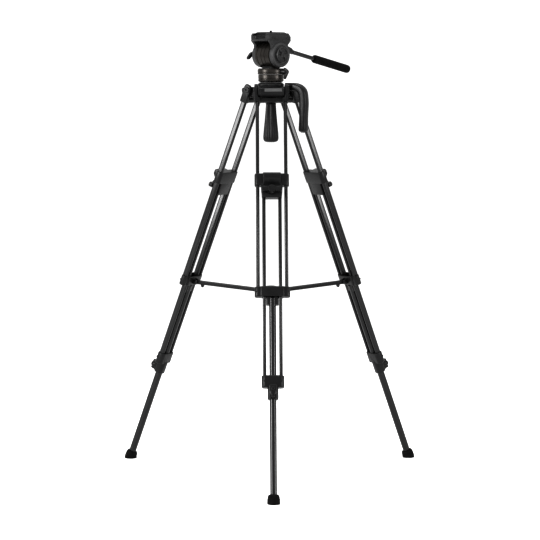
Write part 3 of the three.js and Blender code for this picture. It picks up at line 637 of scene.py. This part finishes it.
for leg in LEGS:
    leg_piece(leg, "yoke", "yoke", yoke(), CASTING, "upper")
    leg_piece(leg, "bolt", "hinge_bolt", hinge_bolt(), CASTING, "upper")
    leg_piece(leg, "block", "spreader_block", spreader_block(), PLASTIC, "upper")
    for end, side in (("a", -1), ("b", 1)):
        outer_end = BLOCK_S + BLOCK_HALF - TUBE_INSET
        outer = oval_tube(side * OUTER_X, OUTER_W, OUTER_D, OUTER_TOP_S, outer_end)
        leg_piece(leg, f"outer_{end}", f"outer_tube_{end}", [outer], TUBE, "upper")
        inner = oval_tube(side * INNER_X, INNER_W, INNER_D, INNER_TOP_S, LOCK_END - TUBE_INSET)
        leg_piece(leg, f"inner_{end}", f"inner_tube_{end}", [inner], TUBE, "middle")
    leg_piece(leg, "upper_clamp", "upper_clamp", upper_clamp(), PLASTIC, "middle")
    upper = wing_knob(CLAMP_KNOB_S, foot=13.8, face=29, hub=11.5, span=26, thick=11, stud=3.6)
    leg_piece(leg, "upper_knob", "upper_knob", upper, PLASTIC, "upper_knob")
    leg_piece(leg, "lower_clamp", "lower_clamp", lower_clamp(), PLASTIC, "middle")
    lower = wing_knob(LOCK_KNOB_S, foot=15.8, face=29, hub=7.5, span=13.1, thick=7.2, stud=3, turn=90)
    leg_piece(leg, "lower_knob", "lower_knob", lower, PLASTIC, "lower_knob")
    leg_piece(leg, "lower_tube", "lower_tube", lower_tube(), TUBE, "lower")
    leg_piece(leg, "foot", "foot", foot(), RUBBER, "lower")


# ---- Spreader ------------------------------------------------------------------------------------
def spreader_arm(length):
    """A flat bar with a long groove in each side and a small tab under its outer end."""
    bar = arc(0, 0, 5, 90, 270, 12) + arc(length, 0, 5, -90, 90, 12)
    body = prism(bar, -4, 4, "x", 1.2, 3)
    groove = rounded(length - 40, 4.6, 2.2, length / 2 + 4, 0, 4)
    grooves = [prism(groove, a, b, "x", 0) for a, b in ((3, 6), (-6, -3))]
    hole = lathe([(0, -9), (2.5, -9), (2.5, 9), (0, 9)], "x", (0, 0), 20)
    tab = [(12, -3), (22, -3), (21, -9)] + arc(17.5, -9, 3, 0, -180, 6) + [(13.8, -8)]
    return [carved(body, hole, *grooves), prism(tab, -2.4, 2.4, "x", 0.8)]


def spreader_hub():
    """A round cap with three slotted lobes, each with a pin for an arm."""
    low, ceiling = HUB_Z - 8, HUB_Z + 6.6
    profile = [(0, low), (19.5, low), (21.4, low + 1.6), (HUB_CAP_R, low + 5), (HUB_CAP_R, ceiling + 0.6),
               (21.2, ceiling + 2.2), (18.4, ceiling + 3.6), (17.2, ceiling + 3.7), (16.6, ceiling + 3.3),
               (15.8, ceiling + 4), (11, ceiling + 5.4), (5, ceiling + 6.1), (0, ceiling + 6.2)]
    cap = lathe(profile, "z", (0, 0), 60)
    lobes, slots = [], []
    for azimuth in LEGS.values():
        side = [(6, low + 0.2), (HUB_R, low + 0.2)] + arc(HUB_R, HUB_Z, 7.8, -90, 90, 10) + [(6, ceiling)]
        lobes.append(turned(prism(swapped(side), -10, 10, "y", 1.4, 3), azimuth))
        for start, roof in ((3.2, ceiling), (HUB_CAP_R + 0.5, ceiling + 20)):
            slot = prism([(start, -5), (60, -5), (60, 5), (start, 5)], low - 5, roof, "z", 0)
            slots.append(turned(slot, azimuth))
    shells = [carved(carved(cap, *lobes, join=True), *slots)]
    pin_end = [(0, 9.6), (3.6, 9.6), (3.6, 10.8), (2.8, 11.8), (0, 11.8)]
    for azimuth in LEGS.values():
        for side in (-1, 1):
            pin = lathe(on_side(side, pin_end), "y", (0, 0), 20)
            moved(pin, Matrix.Translation((HUB_R, 0, HUB_Z)))
            shells.append((turned(pin, azimuth), CASTING))
    return shells


for leg, azimuth in LEGS.items():
    place, length = arm_matrix(azimuth)
    node_piece(f"spreader_arm_{leg}", spreader_arm(length), CASTING, place)
node_piece("spreader_hub", spreader_hub(), PLASTIC)


# ---- Crown, carry handle, half ball and levelling grip -------------------------------------------
def crown():
    """The casting with its three lobes, its bowl, its knurled rim and the blank plate on the front lobe."""
    body = lathe([(0, CROWN_BOTTOM), (39, CROWN_BOTTOM), (40, CROWN_BOTTOM + 1), (38.4, CROWN_TOP - 1),
                  (37.4, CROWN_TOP), (0, CROWN_TOP)], "z", (0, 0), 72)
    side = ([(0, CROWN_BOTTOM), (28, CROWN_BOTTOM), (39, 967)] + arc(PIVOT_R, PIVOT_Z, LOBE_R, -100, 10, 12)
            + [(58, CROWN_TOP - 1), (0, CROWN_TOP - 1)])
    lobes = [turned(prism(swapped(side), -LOBE_HALF, LOBE_HALF, "y", 1.8, 3), a) for a in LEGS.values()]
    mount = [(20, -10), (43.7, -10), (43.7, 10), (20, 10)]
    pad = turned(prism(mount, 968, CROWN_TOP - 1, "z", 1.2), HANDLE_AZIMUTH)
    whole = carved(body, *lobes, pad, join=True)
    bowl = [(0, BALL_Z - BALL_R - 0.5)]
    bowl += [((BALL_R + 0.5) * math.cos(math.radians(a)), BALL_Z + (BALL_R + 0.5) * math.sin(math.radians(a)))
             for a in range(-80, 1, 8)]
    bowl += [(BALL_R + 0.5, BALL_Z + 20), (0, BALL_Z + 20)]
    well = lathe([(0, CROWN_BOTTOM - 5), (13, CROWN_BOTTOM - 5), (13, BALL_Z), (0, BALL_Z)], "z", (0, 0), 40)
    holes = [turned(lathe([(0, -50), (4.3, -50), (4.3, 50), (0, 50)], "y", (PIVOT_R, PIVOT_Z), 24), a)
             for a in LEGS.values()]
    shells = [carved(whole, lathe(bowl, "z", (0, 0), 64), well, *holes)]
    rim = [(30.6, CROWN_TOP - 1), (32.2, CROWN_TOP - 1), (32.9, CROWN_TOP + 1), (32.9, BOWL_RIM_TOP - 1.8),
           (32.3, BOWL_RIM_TOP - 0.4), (31.4, BOWL_RIM_TOP), (30.6, BOWL_RIM_TOP)]
    shells.append(knurled_ring(rim, 56, 0.7))
    for azimuth in LEGS.values():
        shells.append(turned(lobe_plate(54, 22, 0, -8, 0.25), azimuth))
    label = lobe_plate(44, 8, 5, 0, 0.6)
    shells.append((turned(label, LEGS["front"]), LABEL))
    return shells


def lobe_plate(width, height, shift, lift, thick):
    """A thin plate that lies on a lobe's rounded end, shifted across the lobe and lifted round it."""
    bm = bmesh.new()
    columns = 14
    rings = []
    for r in (LOBE_R - 1.5, LOBE_R + thick):
        ring = []
        for i in range(columns + 1):
            a = (lift - height / 2 + height * i / columns) / LOBE_R
            ease = 0.4 if r > LOBE_R and i in (0, columns) else 0
            for side in (-1, 1):
                across = shift + side * (width / 2 - ease)
                ring.append(bm.verts.new((PIVOT_R + r * math.cos(a), across, PIVOT_Z + r * math.sin(a))))
        rings.append(ring)
    inner, outer = rings
    for i in range(columns):
        k = 2 * i
        bm.faces.new((outer[k], outer[k + 1], outer[k + 3], outer[k + 2]))
        bm.faces.new((inner[k + 2], inner[k + 3], inner[k + 1], inner[k]))
        bm.faces.new((outer[k + 2], inner[k + 2], inner[k], outer[k]))
        bm.faces.new((outer[k + 1], inner[k + 1], inner[k + 3], outer[k + 3]))
    k = 2 * columns
    bm.faces.new((outer[0], inner[0], inner[1], outer[1]))
    bm.faces.new((outer[k + 1], inner[k + 1], inner[k], outer[k]))
    bmesh.ops.recalc_face_normals(bm, faces=bm.faces)
    return bm


def knurled_ring(profile, teeth, depth):
    """A closed ring whose outside is cut into teeth."""
    bm = bmesh.new()
    steps = teeth * 4
    outermost = max(r for r, h in profile)
    rings = []
    for r, h in profile:
        ring = []
        for i in range(steps):
            a = 2 * math.pi * i / steps
            cut = depth if i % 4 in (0, 1) and r > outermost - 0.8 else 0
            ring.append(bm.verts.new(((r - cut) * math.cos(a), (r - cut) * math.sin(a), h)))
        rings.append(ring)
    for one, two in zip(rings, rings[1:] + rings[:1]):
        for i in range(steps):
            j = (i + 1) % steps
            bm.faces.new((one[i], one[j], two[j], two[i]))
    bmesh.ops.recalc_face_normals(bm, faces=bm.faces)
    return bm


def smooth_path(points, steps):
    """Points along a Catmull-Rom curve through a few points."""
    out = []
    ends = [points[0] * 2 - points[1], *points, points[-1] * 2 - points[-2]]
    for i in range(1, len(ends) - 2):
        p0, p1, p2, p3 = ends[i - 1:i + 3]
        for k in range(steps):
            t = k / steps
            out.append(0.5 * (2 * p1 + (p2 - p0) * t + (2 * p0 - 5 * p1 + 4 * p2 - p3) * t * t
                              + (3 * p1 - p0 - 3 * p2 + p3) * t ** 3))
    out.append(points[-1])
    return out


def carry_handle():
    """A flattened grip that swells from its root, bends over and hangs straight down."""
    top, out = HANDLE_TOP - HANDLE_HALF, HANDLE_R - HANDLE_HALF
    points = [(44, top), (58, top), (74, top - 0.5), (85, top - 5), (92, top - 13), (out - 1, top - 26),
              (out, top - 40), (out - 0.4, 930), (out - 1.2, 900), (out - 2, HANDLE_BOTTOM + 0.5)]
    path = smooth_path([Vector((x, 0, z)) for x, z in points], 7)
    bm = bmesh.new()
    rings = []
    count = 28
    for k, p in enumerate(path):
        ahead = (path[min(k + 1, len(path) - 1)] - path[max(k - 1, 0)]).normalized()
        side = Vector((ahead.z, 0, -ahead.x))
        width = 8 + 4 * min(max((p.x - 56) / 12, 0), 1)
        left = (path[-1] - p).length
        ease = math.sqrt(max(1 - ((8 - left) / 8) ** 2, 0.0)) if left < 8 else 1.0
        squeeze = 0.45 + 0.55 * ease
        swell = 1 - 0.05 * (1 - math.cos(2 * math.pi * (p - path[0]).length / 62)) * (p.z < 965)
        ring = []
        for i in range(count):
            a = 2 * math.pi * i / count
            c, s = math.cos(a), math.sin(a)
            u = HANDLE_HALF * swell * squeeze * math.copysign(abs(c) ** 0.62, c)
            v = width * squeeze * math.copysign(abs(s) ** 0.62, s)
            ring.append(bm.verts.new(p + side * u + Y * v))
        rings.append(ring)
    for one, two in zip(rings, rings[1:]):
        for i in range(count):
            j = (i + 1) % count
            bm.faces.new((one[i], one[j], two[j], two[i]))
    bm.faces.new(rings[0][::-1])
    bm.faces.new(rings[-1])
    bmesh.ops.recalc_face_normals(bm, faces=bm.faces)
    return [bm]


def half_ball():
    """The ball in the bowl, with the stud that reaches down into the levelling grip."""
    profile = [(0, 934), (4.6, 934), (5, 934.4), (5, 969)]
    profile += [(BALL_R * math.cos(math.radians(a)), BALL_Z + BALL_R * math.sin(math.radians(a)))
                for a in range(-76, 1, 4)]
    profile += [(28, BALL_Z + 0.7), (0, BALL_Z + 0.7)]
    return [lathe(profile, "z", (0, 0), 64)]


def levelling_grip():
    """A ribbed bell that hangs under the crown, with a plain collar at its top."""
    profile = [(0, 849), (9, 849), (12, 849.6), (15.5, 851), (18, 853.6), (19.3, 857), (19.4, 862), (19, 870),
               (17.6, 885), (16.3, 898), (15.2, 910), (14.1, 922), (13.2, 935), (12.6, 943), (12.2, 946),
               (0, 946)]
    collar = [(5.3, 945), (12.6, 945), (13, 945.6), (12.8, 947.6), (11.6, 949), (5.3, 949), (5.3, 945)]
    return [lathe(profile, "z", (0, 0), 144, flutes=24, depth=0.9), lathe(collar, "z", (0, 0), 48)]


node_piece("crown", crown(), CASTING, body="base")
node_piece("carry_handle", carry_handle(), PLASTIC, HANDLE_FRAME, "base")
node_piece("half_ball", half_ball(), CASTING, body="levelling_ball")
node_piece("levelling_grip", levelling_grip(), PLASTIC)


# ---- Head: x along the tilt axis, y to the rear, then turned -------------------------------------
def head_base():
    """The neck above the bowl, with a groove round it and a small round screw in its front."""
    top = PAN_Z - 0.3
    profile = [(0, BALL_Z + 1), (25.6, BALL_Z + 1), (NECK_R - 0.5, 1003.2), (NECK_R, 1004), (NECK_R, 1008.4),
               (NECK_R - 0.7, 1009), (NECK_R - 0.7, 1009.8), (NECK_R, 1010.4), (NECK_R, top - 1.4),
               (NECK_R - 0.4, top - 0.5), (NECK_R - 1.2, top), (0, top)]
    screw = [(0, 29), (3, 29), (3, 31.6), (2.4, 32.4), (1.3, 32.5), (1.1, 31.8), (0, 31.8)]
    screw_azimuth = -113.8
    screw_shell = turned(lathe(screw, "x", (0, 1005), 24), screw_azimuth - HEAD_YAW)
    return [lathe(profile, "z", (0, 0), 96), (screw_shell, CASTING)]


def pan_body():
    """The ring above the neck, the saddle on it, the grooved drum and the pan lock's boss."""
    z = PAN_Z
    ring = [(0, z), (PAN_R - 0.8, z), (PAN_R, z + 0.8), (PAN_R, z + 3.4), (PAN_R - 0.6, z + 3.9),
            (PAN_R - 0.6, z + 4.5), (PAN_R, z + 5), (PAN_R, z + 11.6), (PAN_R - 0.5, z + 12.8),
            (PAN_R - 2.6, z + 15), (0, z + 15)]
    x = DRUM_HALF
    drum = [(0, -x), (DRUM_R - 0.5, -x), (DRUM_R, -x + 0.6), (DRUM_R, -x + 6), (DRUM_R - 1.1, -x + 6.6),
            (DRUM_R - 1.1, -x + 8), (DRUM_R, -x + 8.6), (DRUM_R, -4), (DRUM_R - 1.3, -3.2),
            (DRUM_R - 1.3, -1.6), (DRUM_R, -0.8), (DRUM_R, 8), (DRUM_R - 1.1, 8.7), (DRUM_R - 1.1, 10.1),
            (DRUM_R, 10.8), (DRUM_R, x - 0.6), (DRUM_R - 0.5, x), (0, x)]
    saddle = [(-14.8, z + 12), (14.8, z + 12), (16.8, TILT_Z - 8), (-16.8, TILT_Z - 8)]
    shells = [(lathe(ring, "z", (0, 0), 96), DRUM), (lathe(drum, "x", (0, TILT_Z), 96), DRUM)]
    shells.append(prism(saddle, -17.8, 17.8, "x", 2.5, 3))
    boss = [(3.3, 20), (5.9, 20), (5.9, 35.2), (5.3, 35.9), (3.3, 35.9), (3.3, 20)]
    shells.append(turned(lathe(boss, "x", (0, LOCK_Z), 28), PAN_LOCK_TURN))
    return shells


def pan_lock_knob():
    """A round hub with one tall wing, which hangs further down than it rises."""
    z = LOCK_Z
    wing = [(z - 17, 40.6), (z - 19, 42.5), (z - 17, 45), (z - 4, 52), (z, 53.5), (z + 3.5, 52), (z + 9, 45),
            (z + 10.5, 42), (z + 9, 40.6)]
    hub = [(0, 36.4), (7, 36.4), (7.5, 37), (7.5, 39), (7, 44), (5.6, 49), (4.6, 49.9), (0, 50)]
    stud = rod(3, 26, 38, "x", (0, z), 0.3, 20)
    return [prism(wing, -3.4, 3.4, "y", 1.3, 3), lathe(hub, "x", (0, z), 32), (stud, STEEL)]


def frame_side(sign):
    """A disc round the tilt axis and the web up to the platform, on one side."""
    z = PLATFORM_BOTTOM + 3
    a, b = sorted((sign * (DRUM_HALF + 0.6), sign * (SIDE_OUT - 3.5)))
    web = [(-27.6, z - 12), (-39, z), (39, z), (27.6, z - 12), (DISC_R - 3, TILT_Z), (-DISC_R + 3, TILT_Z)]
    near, far = sign * (DRUM_HALF + 0.5), sign * SIDE_OUT
    disc = [(0, near), (DISC_R - 0.4, near), (DISC_R, near + sign * 0.5), (DISC_R, far - sign * 1.6),
            (DISC_R - 0.5, far - sign * 0.5), (DISC_R - 1.6, far), (24.5, far), (23.6, far - sign * 1.1),
            (21.2, far - sign * 1.3), (20.6, far - sign * 0.9), (0, far - sign * 0.9)]
    return [prism(web, a, b, "x", 1.4, 3), (lathe(disc, "x", (0, TILT_Z), 96), DISC)]


def tilt_frame():
    """The platform with its channel and side pockets, the two sides, and the lug for the pan bar."""
    y, low, top = PLATFORM_Y, PLATFORM_BOTTOM, PLATFORM_TOP
    side_view = [(-y + 4, low), (y - 4, low), (y, low + 4), (y, top - 9), (y - 7.5, top), (-y + 3.5, top),
                 (-y, top - 5), (-y, low + 4)]
    body = prism(side_view, -PLATFORM_X, PLATFORM_X, "x", 1.8, 3)
    slot = [(-23.8, SLOT_FLOOR), (23.8, SLOT_FLOOR), (21.4, top + 1), (-21.4, top + 1)]
    channel = prism(swapped(slot), -y - 5, y + 5, "y", 0)
    left, right = LATCH.x - 4.4, 20
    lever_room = [(left, -y - 2), (right, -y - 2), (right, -y + 5), (left, -y + 5)]
    seat = prism(lever_room, LATCH.z - 3.4, LATCH.z + 3, "z", 0)
    tools = [channel, seat]
    for side in (-1, 1):
        a, b = sorted((side * (PLATFORM_X - 0.9), side * (PLATFORM_X + 3)))
        for outline in ([(-30, top - 8), (-12, top - 8), (-16, low + 4), (-24, low + 4)],
                        [(30, top - 8), (24, low + 4), (16, low + 4), (12, top - 8)]):
            tools.append(prism(outline, a, b, "x", 0))
    shells = [carved(body, *tools)]
    for side in (-1, 1):
        shells += frame_side(side)
    lug = [(20, BAR_Z - 12)] + arc(BAR_Y, BAR_Z, 6.6, -85, 60, 10) + [(24, low - 9), (20, low - 9)]
    lug_body = prism(lug, DRUM_HALF + 0.6, SIDE_OUT - 6, "x", 1.4, 3)
    bore = [(0, DRUM_HALF - 2), (3.3, DRUM_HALF - 2), (3.3, SIDE_OUT - 8), (0, SIDE_OUT - 8)]
    shells.append(carved(lug_body, lathe(bore, "x", (BAR_Y, BAR_Z), 20)))
    shells.append((screw_head((BAR_Y, BAR_Z), "x", SIDE_OUT - 5.2, 3.6), CASTING))
    return shells


def tilt_lever():
    """A hub on the far disc with an arm that slopes down and forward."""
    arm = [(-6, -5), (-20, -3), (-31, -11), (-35.5, -10.4), (-36, -5.5), (-25, 6.5), (-18, 9), (-5, 7)]
    raised = [(y, TILT_Z + z) for y, z in arm]
    near = -SIDE_OUT - 0.3
    hub = [(0, near), (8.2, near), (8.4, near - 0.7), (7.6, -49), (6.6, -51.6), (5, -52.2), (0, -52.4)]
    return [lathe(hub, "x", (0, TILT_Z), 36), prism(raised, -53, -45.6, "x", 1.8, 3)]


def side_knob():
    """A shallow dish with a hub and three raised wedges to turn it by."""
    a = SIDE_OUT + 0.3
    dish = [(0, a), (18.8, a), (19.8, a + 0.8), (20, a + 2), (20, a + 4.4), (19.4, a + 5.6), (18.2, a + 6),
            (17.2, a + 5.4), (16.4, a + 3.4), (0, a + 3.2)]
    shells = [lathe(dish, "x", (0, 0), 72)]
    hub = [(0, a + 2), (7, a + 2), (6.6, a + 5.8), (5.8, a + 6.5), (3.2, a + 6.6), (2.9, a + 5.8),
           (0, a + 5.8)]
    shells.append(lathe(hub, "x", (0, 0), 36))
    for i in range(3):
        grip = arc(0, 0, 16.9, -38, 38, 8) + arc(0, 0, 5, 24, -24, 3)
        wedge = prism(grip, a + 2.4, a + 6.3, "x", 1.1, 3)
        shells.append(turned(wedge, 100 + 120 * i, "X"))
    for bm in shells:
        moved(bm, Matrix.Translation((0, 0, TILT_Z)))
    return shells


def plate_lever():
    """An arm on an upright pivot, lying in its seat across the platform's front end."""
    x, y, z = LATCH
    arm = [(x, y - 2.5), (16.6, y - 2.5), (17.9, y - 1.4), (17.9, y + 1.5), (x, y + 1.5)]
    pivot = [(0, z - 3), (2.9, z - 3), (3.4, z - 2.5), (3.4, z + 2.1), (2.9, z + 2.6), (0, z + 2.6)]
    return [prism(arm, z - 2, z + 1.6, "z", 0.8), lathe(pivot, "z", (x, y), 28)]


def camera_plate():
    """A dovetail with a groove for the camera screw and a pocket for its head."""
    top = PLATE_TOP
    outline = [(-23.2, SLOT_FLOOR + 0.4), (23.2, SLOT_FLOOR + 0.4), (20.6, top), (-20.6, top)]
    dovetail = prism(swapped(outline), -34, 34, "y", 0.6, 3)
    groove = prism(rounded(7.4, 40, 3.6, 0, 0, 6), SLOT_FLOOR - 2, top + 2, "z", 0)
    pocket = prism(rounded(17.4, 50, 8, 0, 0, 6), SLOT_FLOOR - 2, SCREW_HEAD_TOP + 0.4, "z", 0)
    return [carved(dovetail, groove, pocket)]


def plate_pad():
    """A thin rubber sheet with fine ribs along it and a window over the camera screw."""
    pad = prism(rounded(38, 66, 4, 0, 0, 5), PLATE_TOP + 0.02, PAD_TOP - 0.35, "z", 0.3)
    window = prism(rounded(12, 44, 5.8, 0, 0, 6), PLATE_TOP - 1, PAD_TOP + 1, "z", 0)
    shells = [carved(pad, window)]
    for i in range(12):
        x = -16.5 + 3 * i
        spans = [(-31, 31)] if abs(x) > 7.2 else [(-31, -23.5), (23.5, 31)]
        for a, b in spans:
            rib = rounded(1.5, b - a, 0.6, x, (a + b) / 2, 2)
            shells.append(prism(rib, PAD_TOP - 0.6, PAD_TOP, "z", 0.15, 1))
    return shells


def camera_screw():
    """A flat head and a thread, drawn as rings, that stands out of the pad."""
    low, top = SLOT_FLOOR + 0.9, SCREW_HEAD_TOP
    head = [(0, low), (7.4, low), (8, low + 0.5), (8, top - 0.6), (7.4, top), (0, top)]
    z = top - 0.5
    thread = [(0, z)]
    while z < SCREW_TIP - 1.1:
        thread += [(3.1, z), (2.7, z + 0.45)]
        z += 0.9
    thread += [(2.4, SCREW_TIP - 0.2), (0, SCREW_TIP)]
    return [lathe(head, "z", (0, 0), 40), lathe(thread, "z", (0, 0), 28)]


def pan_bar():
    """The bar, the eye it swings on and the socket between them."""
    bar = rod(BAR_R, 6, BAR_LENGTH - 12.5, "y", (0, 0), 0.6, 36)
    eye = [(3.3, -5.4), (7.3, -5.4), (8, -4.6), (8, 4.8), (7.3, 5.6), (3.3, 5.6), (3.3, -5.4)]
    socket = [(0, 6), (5.6, 6), (6, 6.8), (6, 17), (5.4, 18.4), (0, 18.4)]
    return [bar, (lathe(eye, "x", (0, 0), 40), CASTING), (lathe(socket, "y", (0, 0), 36), CASTING)]


def pan_grip():
    """A rubber sleeve with rings cut round it."""
    a, b, r = BAR_LENGTH - GRIP_LENGTH, BAR_LENGTH, GRIP_R
    profile = [(0, a + 0.2), (BAR_R + 0.1, a + 0.2), (7.2, a), (8.6, a + 0.8), (9.4, a + 2.2),
               (r - 0.1, a + 5), (r, a + 8)]
    y = a + 12
    while y < b - 16:
        profile += [(r, y), (r - 0.75, y + 0.7), (r - 0.75, y + 1.7), (r, y + 2.4)]
        y += 5.2
    profile += [(r, b - 9), (r - 0.2, b - 6), (9.3, b - 2.6), (7.4, b - 0.8), (5, b), (0, b)]
    return [lathe(profile, "y", (0, 0), 56)]


def pan_bar_knob():
    """A fluted knob and the stud that clamps the bar's eye to its lug."""
    grip = [(0, -19), (5.4, -19), (6.6, -18), (7.4, -15), (7.5, -8), (7, -6.2), (6, -5.8), (0, -5.8)]
    stud = rod(3, -8, 9.8, "x", (0, 0), 0.3, 20)
    return [lathe(grip, "x", (0, 0), 96, flutes=12, depth=0.8), (stud, STEEL)]


node_piece("head_base", head_base(), DRUM, HEAD_FRAME, "levelling_ball")
node_piece("pan_body", pan_body(), HEAD, HEAD_FRAME)
node_piece("pan_lock_knob", pan_lock_knob(), PLASTIC, KNOB_FRAME)
node_piece("tilt_frame", tilt_frame(), HEAD, HEAD_FRAME)
node_piece("tilt_lever", tilt_lever(), PLASTIC, HEAD_FRAME)
node_piece("side_knob", side_knob(), HEAD, HEAD_FRAME)
node_piece("plate_lever", plate_lever(), PLASTIC, HEAD_FRAME)
node_piece("camera_plate", camera_plate(), CASTING, HEAD_FRAME)
node_piece("plate_pad", plate_pad(), RUBBER, HEAD_FRAME, "camera_plate")
node_piece("camera_screw", camera_screw(), CASTING, HEAD_FRAME)
node_piece("pan_bar", pan_bar(), TUBE, BAR_FRAME)
node_piece("pan_grip", pan_grip(), RUBBER, BAR_FRAME, "pan_bar")
node_piece("pan_bar_knob", pan_bar_knob(), PLASTIC, BAR_FRAME)


# ---- Floor, light and camera ---------------------------------------------------------------------
def add_floor():
    bm = bmesh.new()
    bmesh.ops.create_circle(bm, cap_ends=True, segments=96, radius=FLOOR_R)
    mesh = bpy.data.meshes.new("floor")
    bm.to_mesh(mesh)
    bm.free()
    keep_own_place(mesh)
    floor = bpy.data.objects.new("floor", mesh)
    floor.location = (0, 0, -FLOOR_DROP)
    bpy.context.scene.collection.objects.link(floor)
    pale = Finish("pale_floor", (0.9, 0.9, 0.9), 0.8, specular=0.2)
    pale.vary_color(pale.noise(2, 2), (0.91, 0.91, 0.91))
    floor.data.materials.append(pale.material)


def add_sky():
    world = bpy.data.worlds.new("studio")
    bpy.context.scene.world = world
    world.use_nodes = True
    background = world.node_tree.nodes["Background"]
    background.inputs["Color"].default_value = (1, 1, 1, 1)
    background.inputs["Strength"].default_value = SKY_STRENGTH


def add_lamp(name, place, size, power):
    """A soft square lamp that faces the part."""
    data = bpy.data.lights.new(name, "AREA")
    data.size = size
    data.energy = power
    ob = bpy.data.objects.new(name, data)
    ob.location = place
    ob.rotation_mode = "QUATERNION"
    aim = Vector((0, AXIS.y, LAMP_AIM_Z))
    ob.rotation_quaternion = (aim - ob.location).to_track_quat("-Z", "Y")
    bpy.context.scene.collection.objects.link(ob)


def add_camera():
    """At the height of the head's base and a little to the left, looking slightly down at the part."""
    turn = math.radians(CAMERA_TURN)
    data = bpy.data.cameras.new("camera")
    data.sensor_width = SENSOR_WIDTH
    data.lens = FOCAL_LENGTH
    data.clip_end = 200
    cam = bpy.data.objects.new("camera", data)
    side = -CAMERA_DISTANCE * math.sin(turn) - CAMERA_SIDE
    cam.location = AXIS + Vector((side, -CAMERA_DISTANCE * math.cos(turn), CAMERA_HEIGHT))
    cam.rotation_euler = (math.radians(90 - CAMERA_DIP), 0, -turn)
    bpy.context.scene.collection.objects.link(cam)
    bpy.context.scene.camera = cam
    bpy.context.scene.view_settings.view_transform = "Standard"
    bpy.context.scene.view_settings.gamma = GAMMA


add_floor()
add_sky()
add_lamp("key", (-3.0, -1.9, 1.7), 1.6, 150)
add_lamp("fill", (3.0, -1.9, 1.5), 1.2, 70)
add_lamp("top", (0, 0.2, 3.6), 2.2, 70)
add_camera()
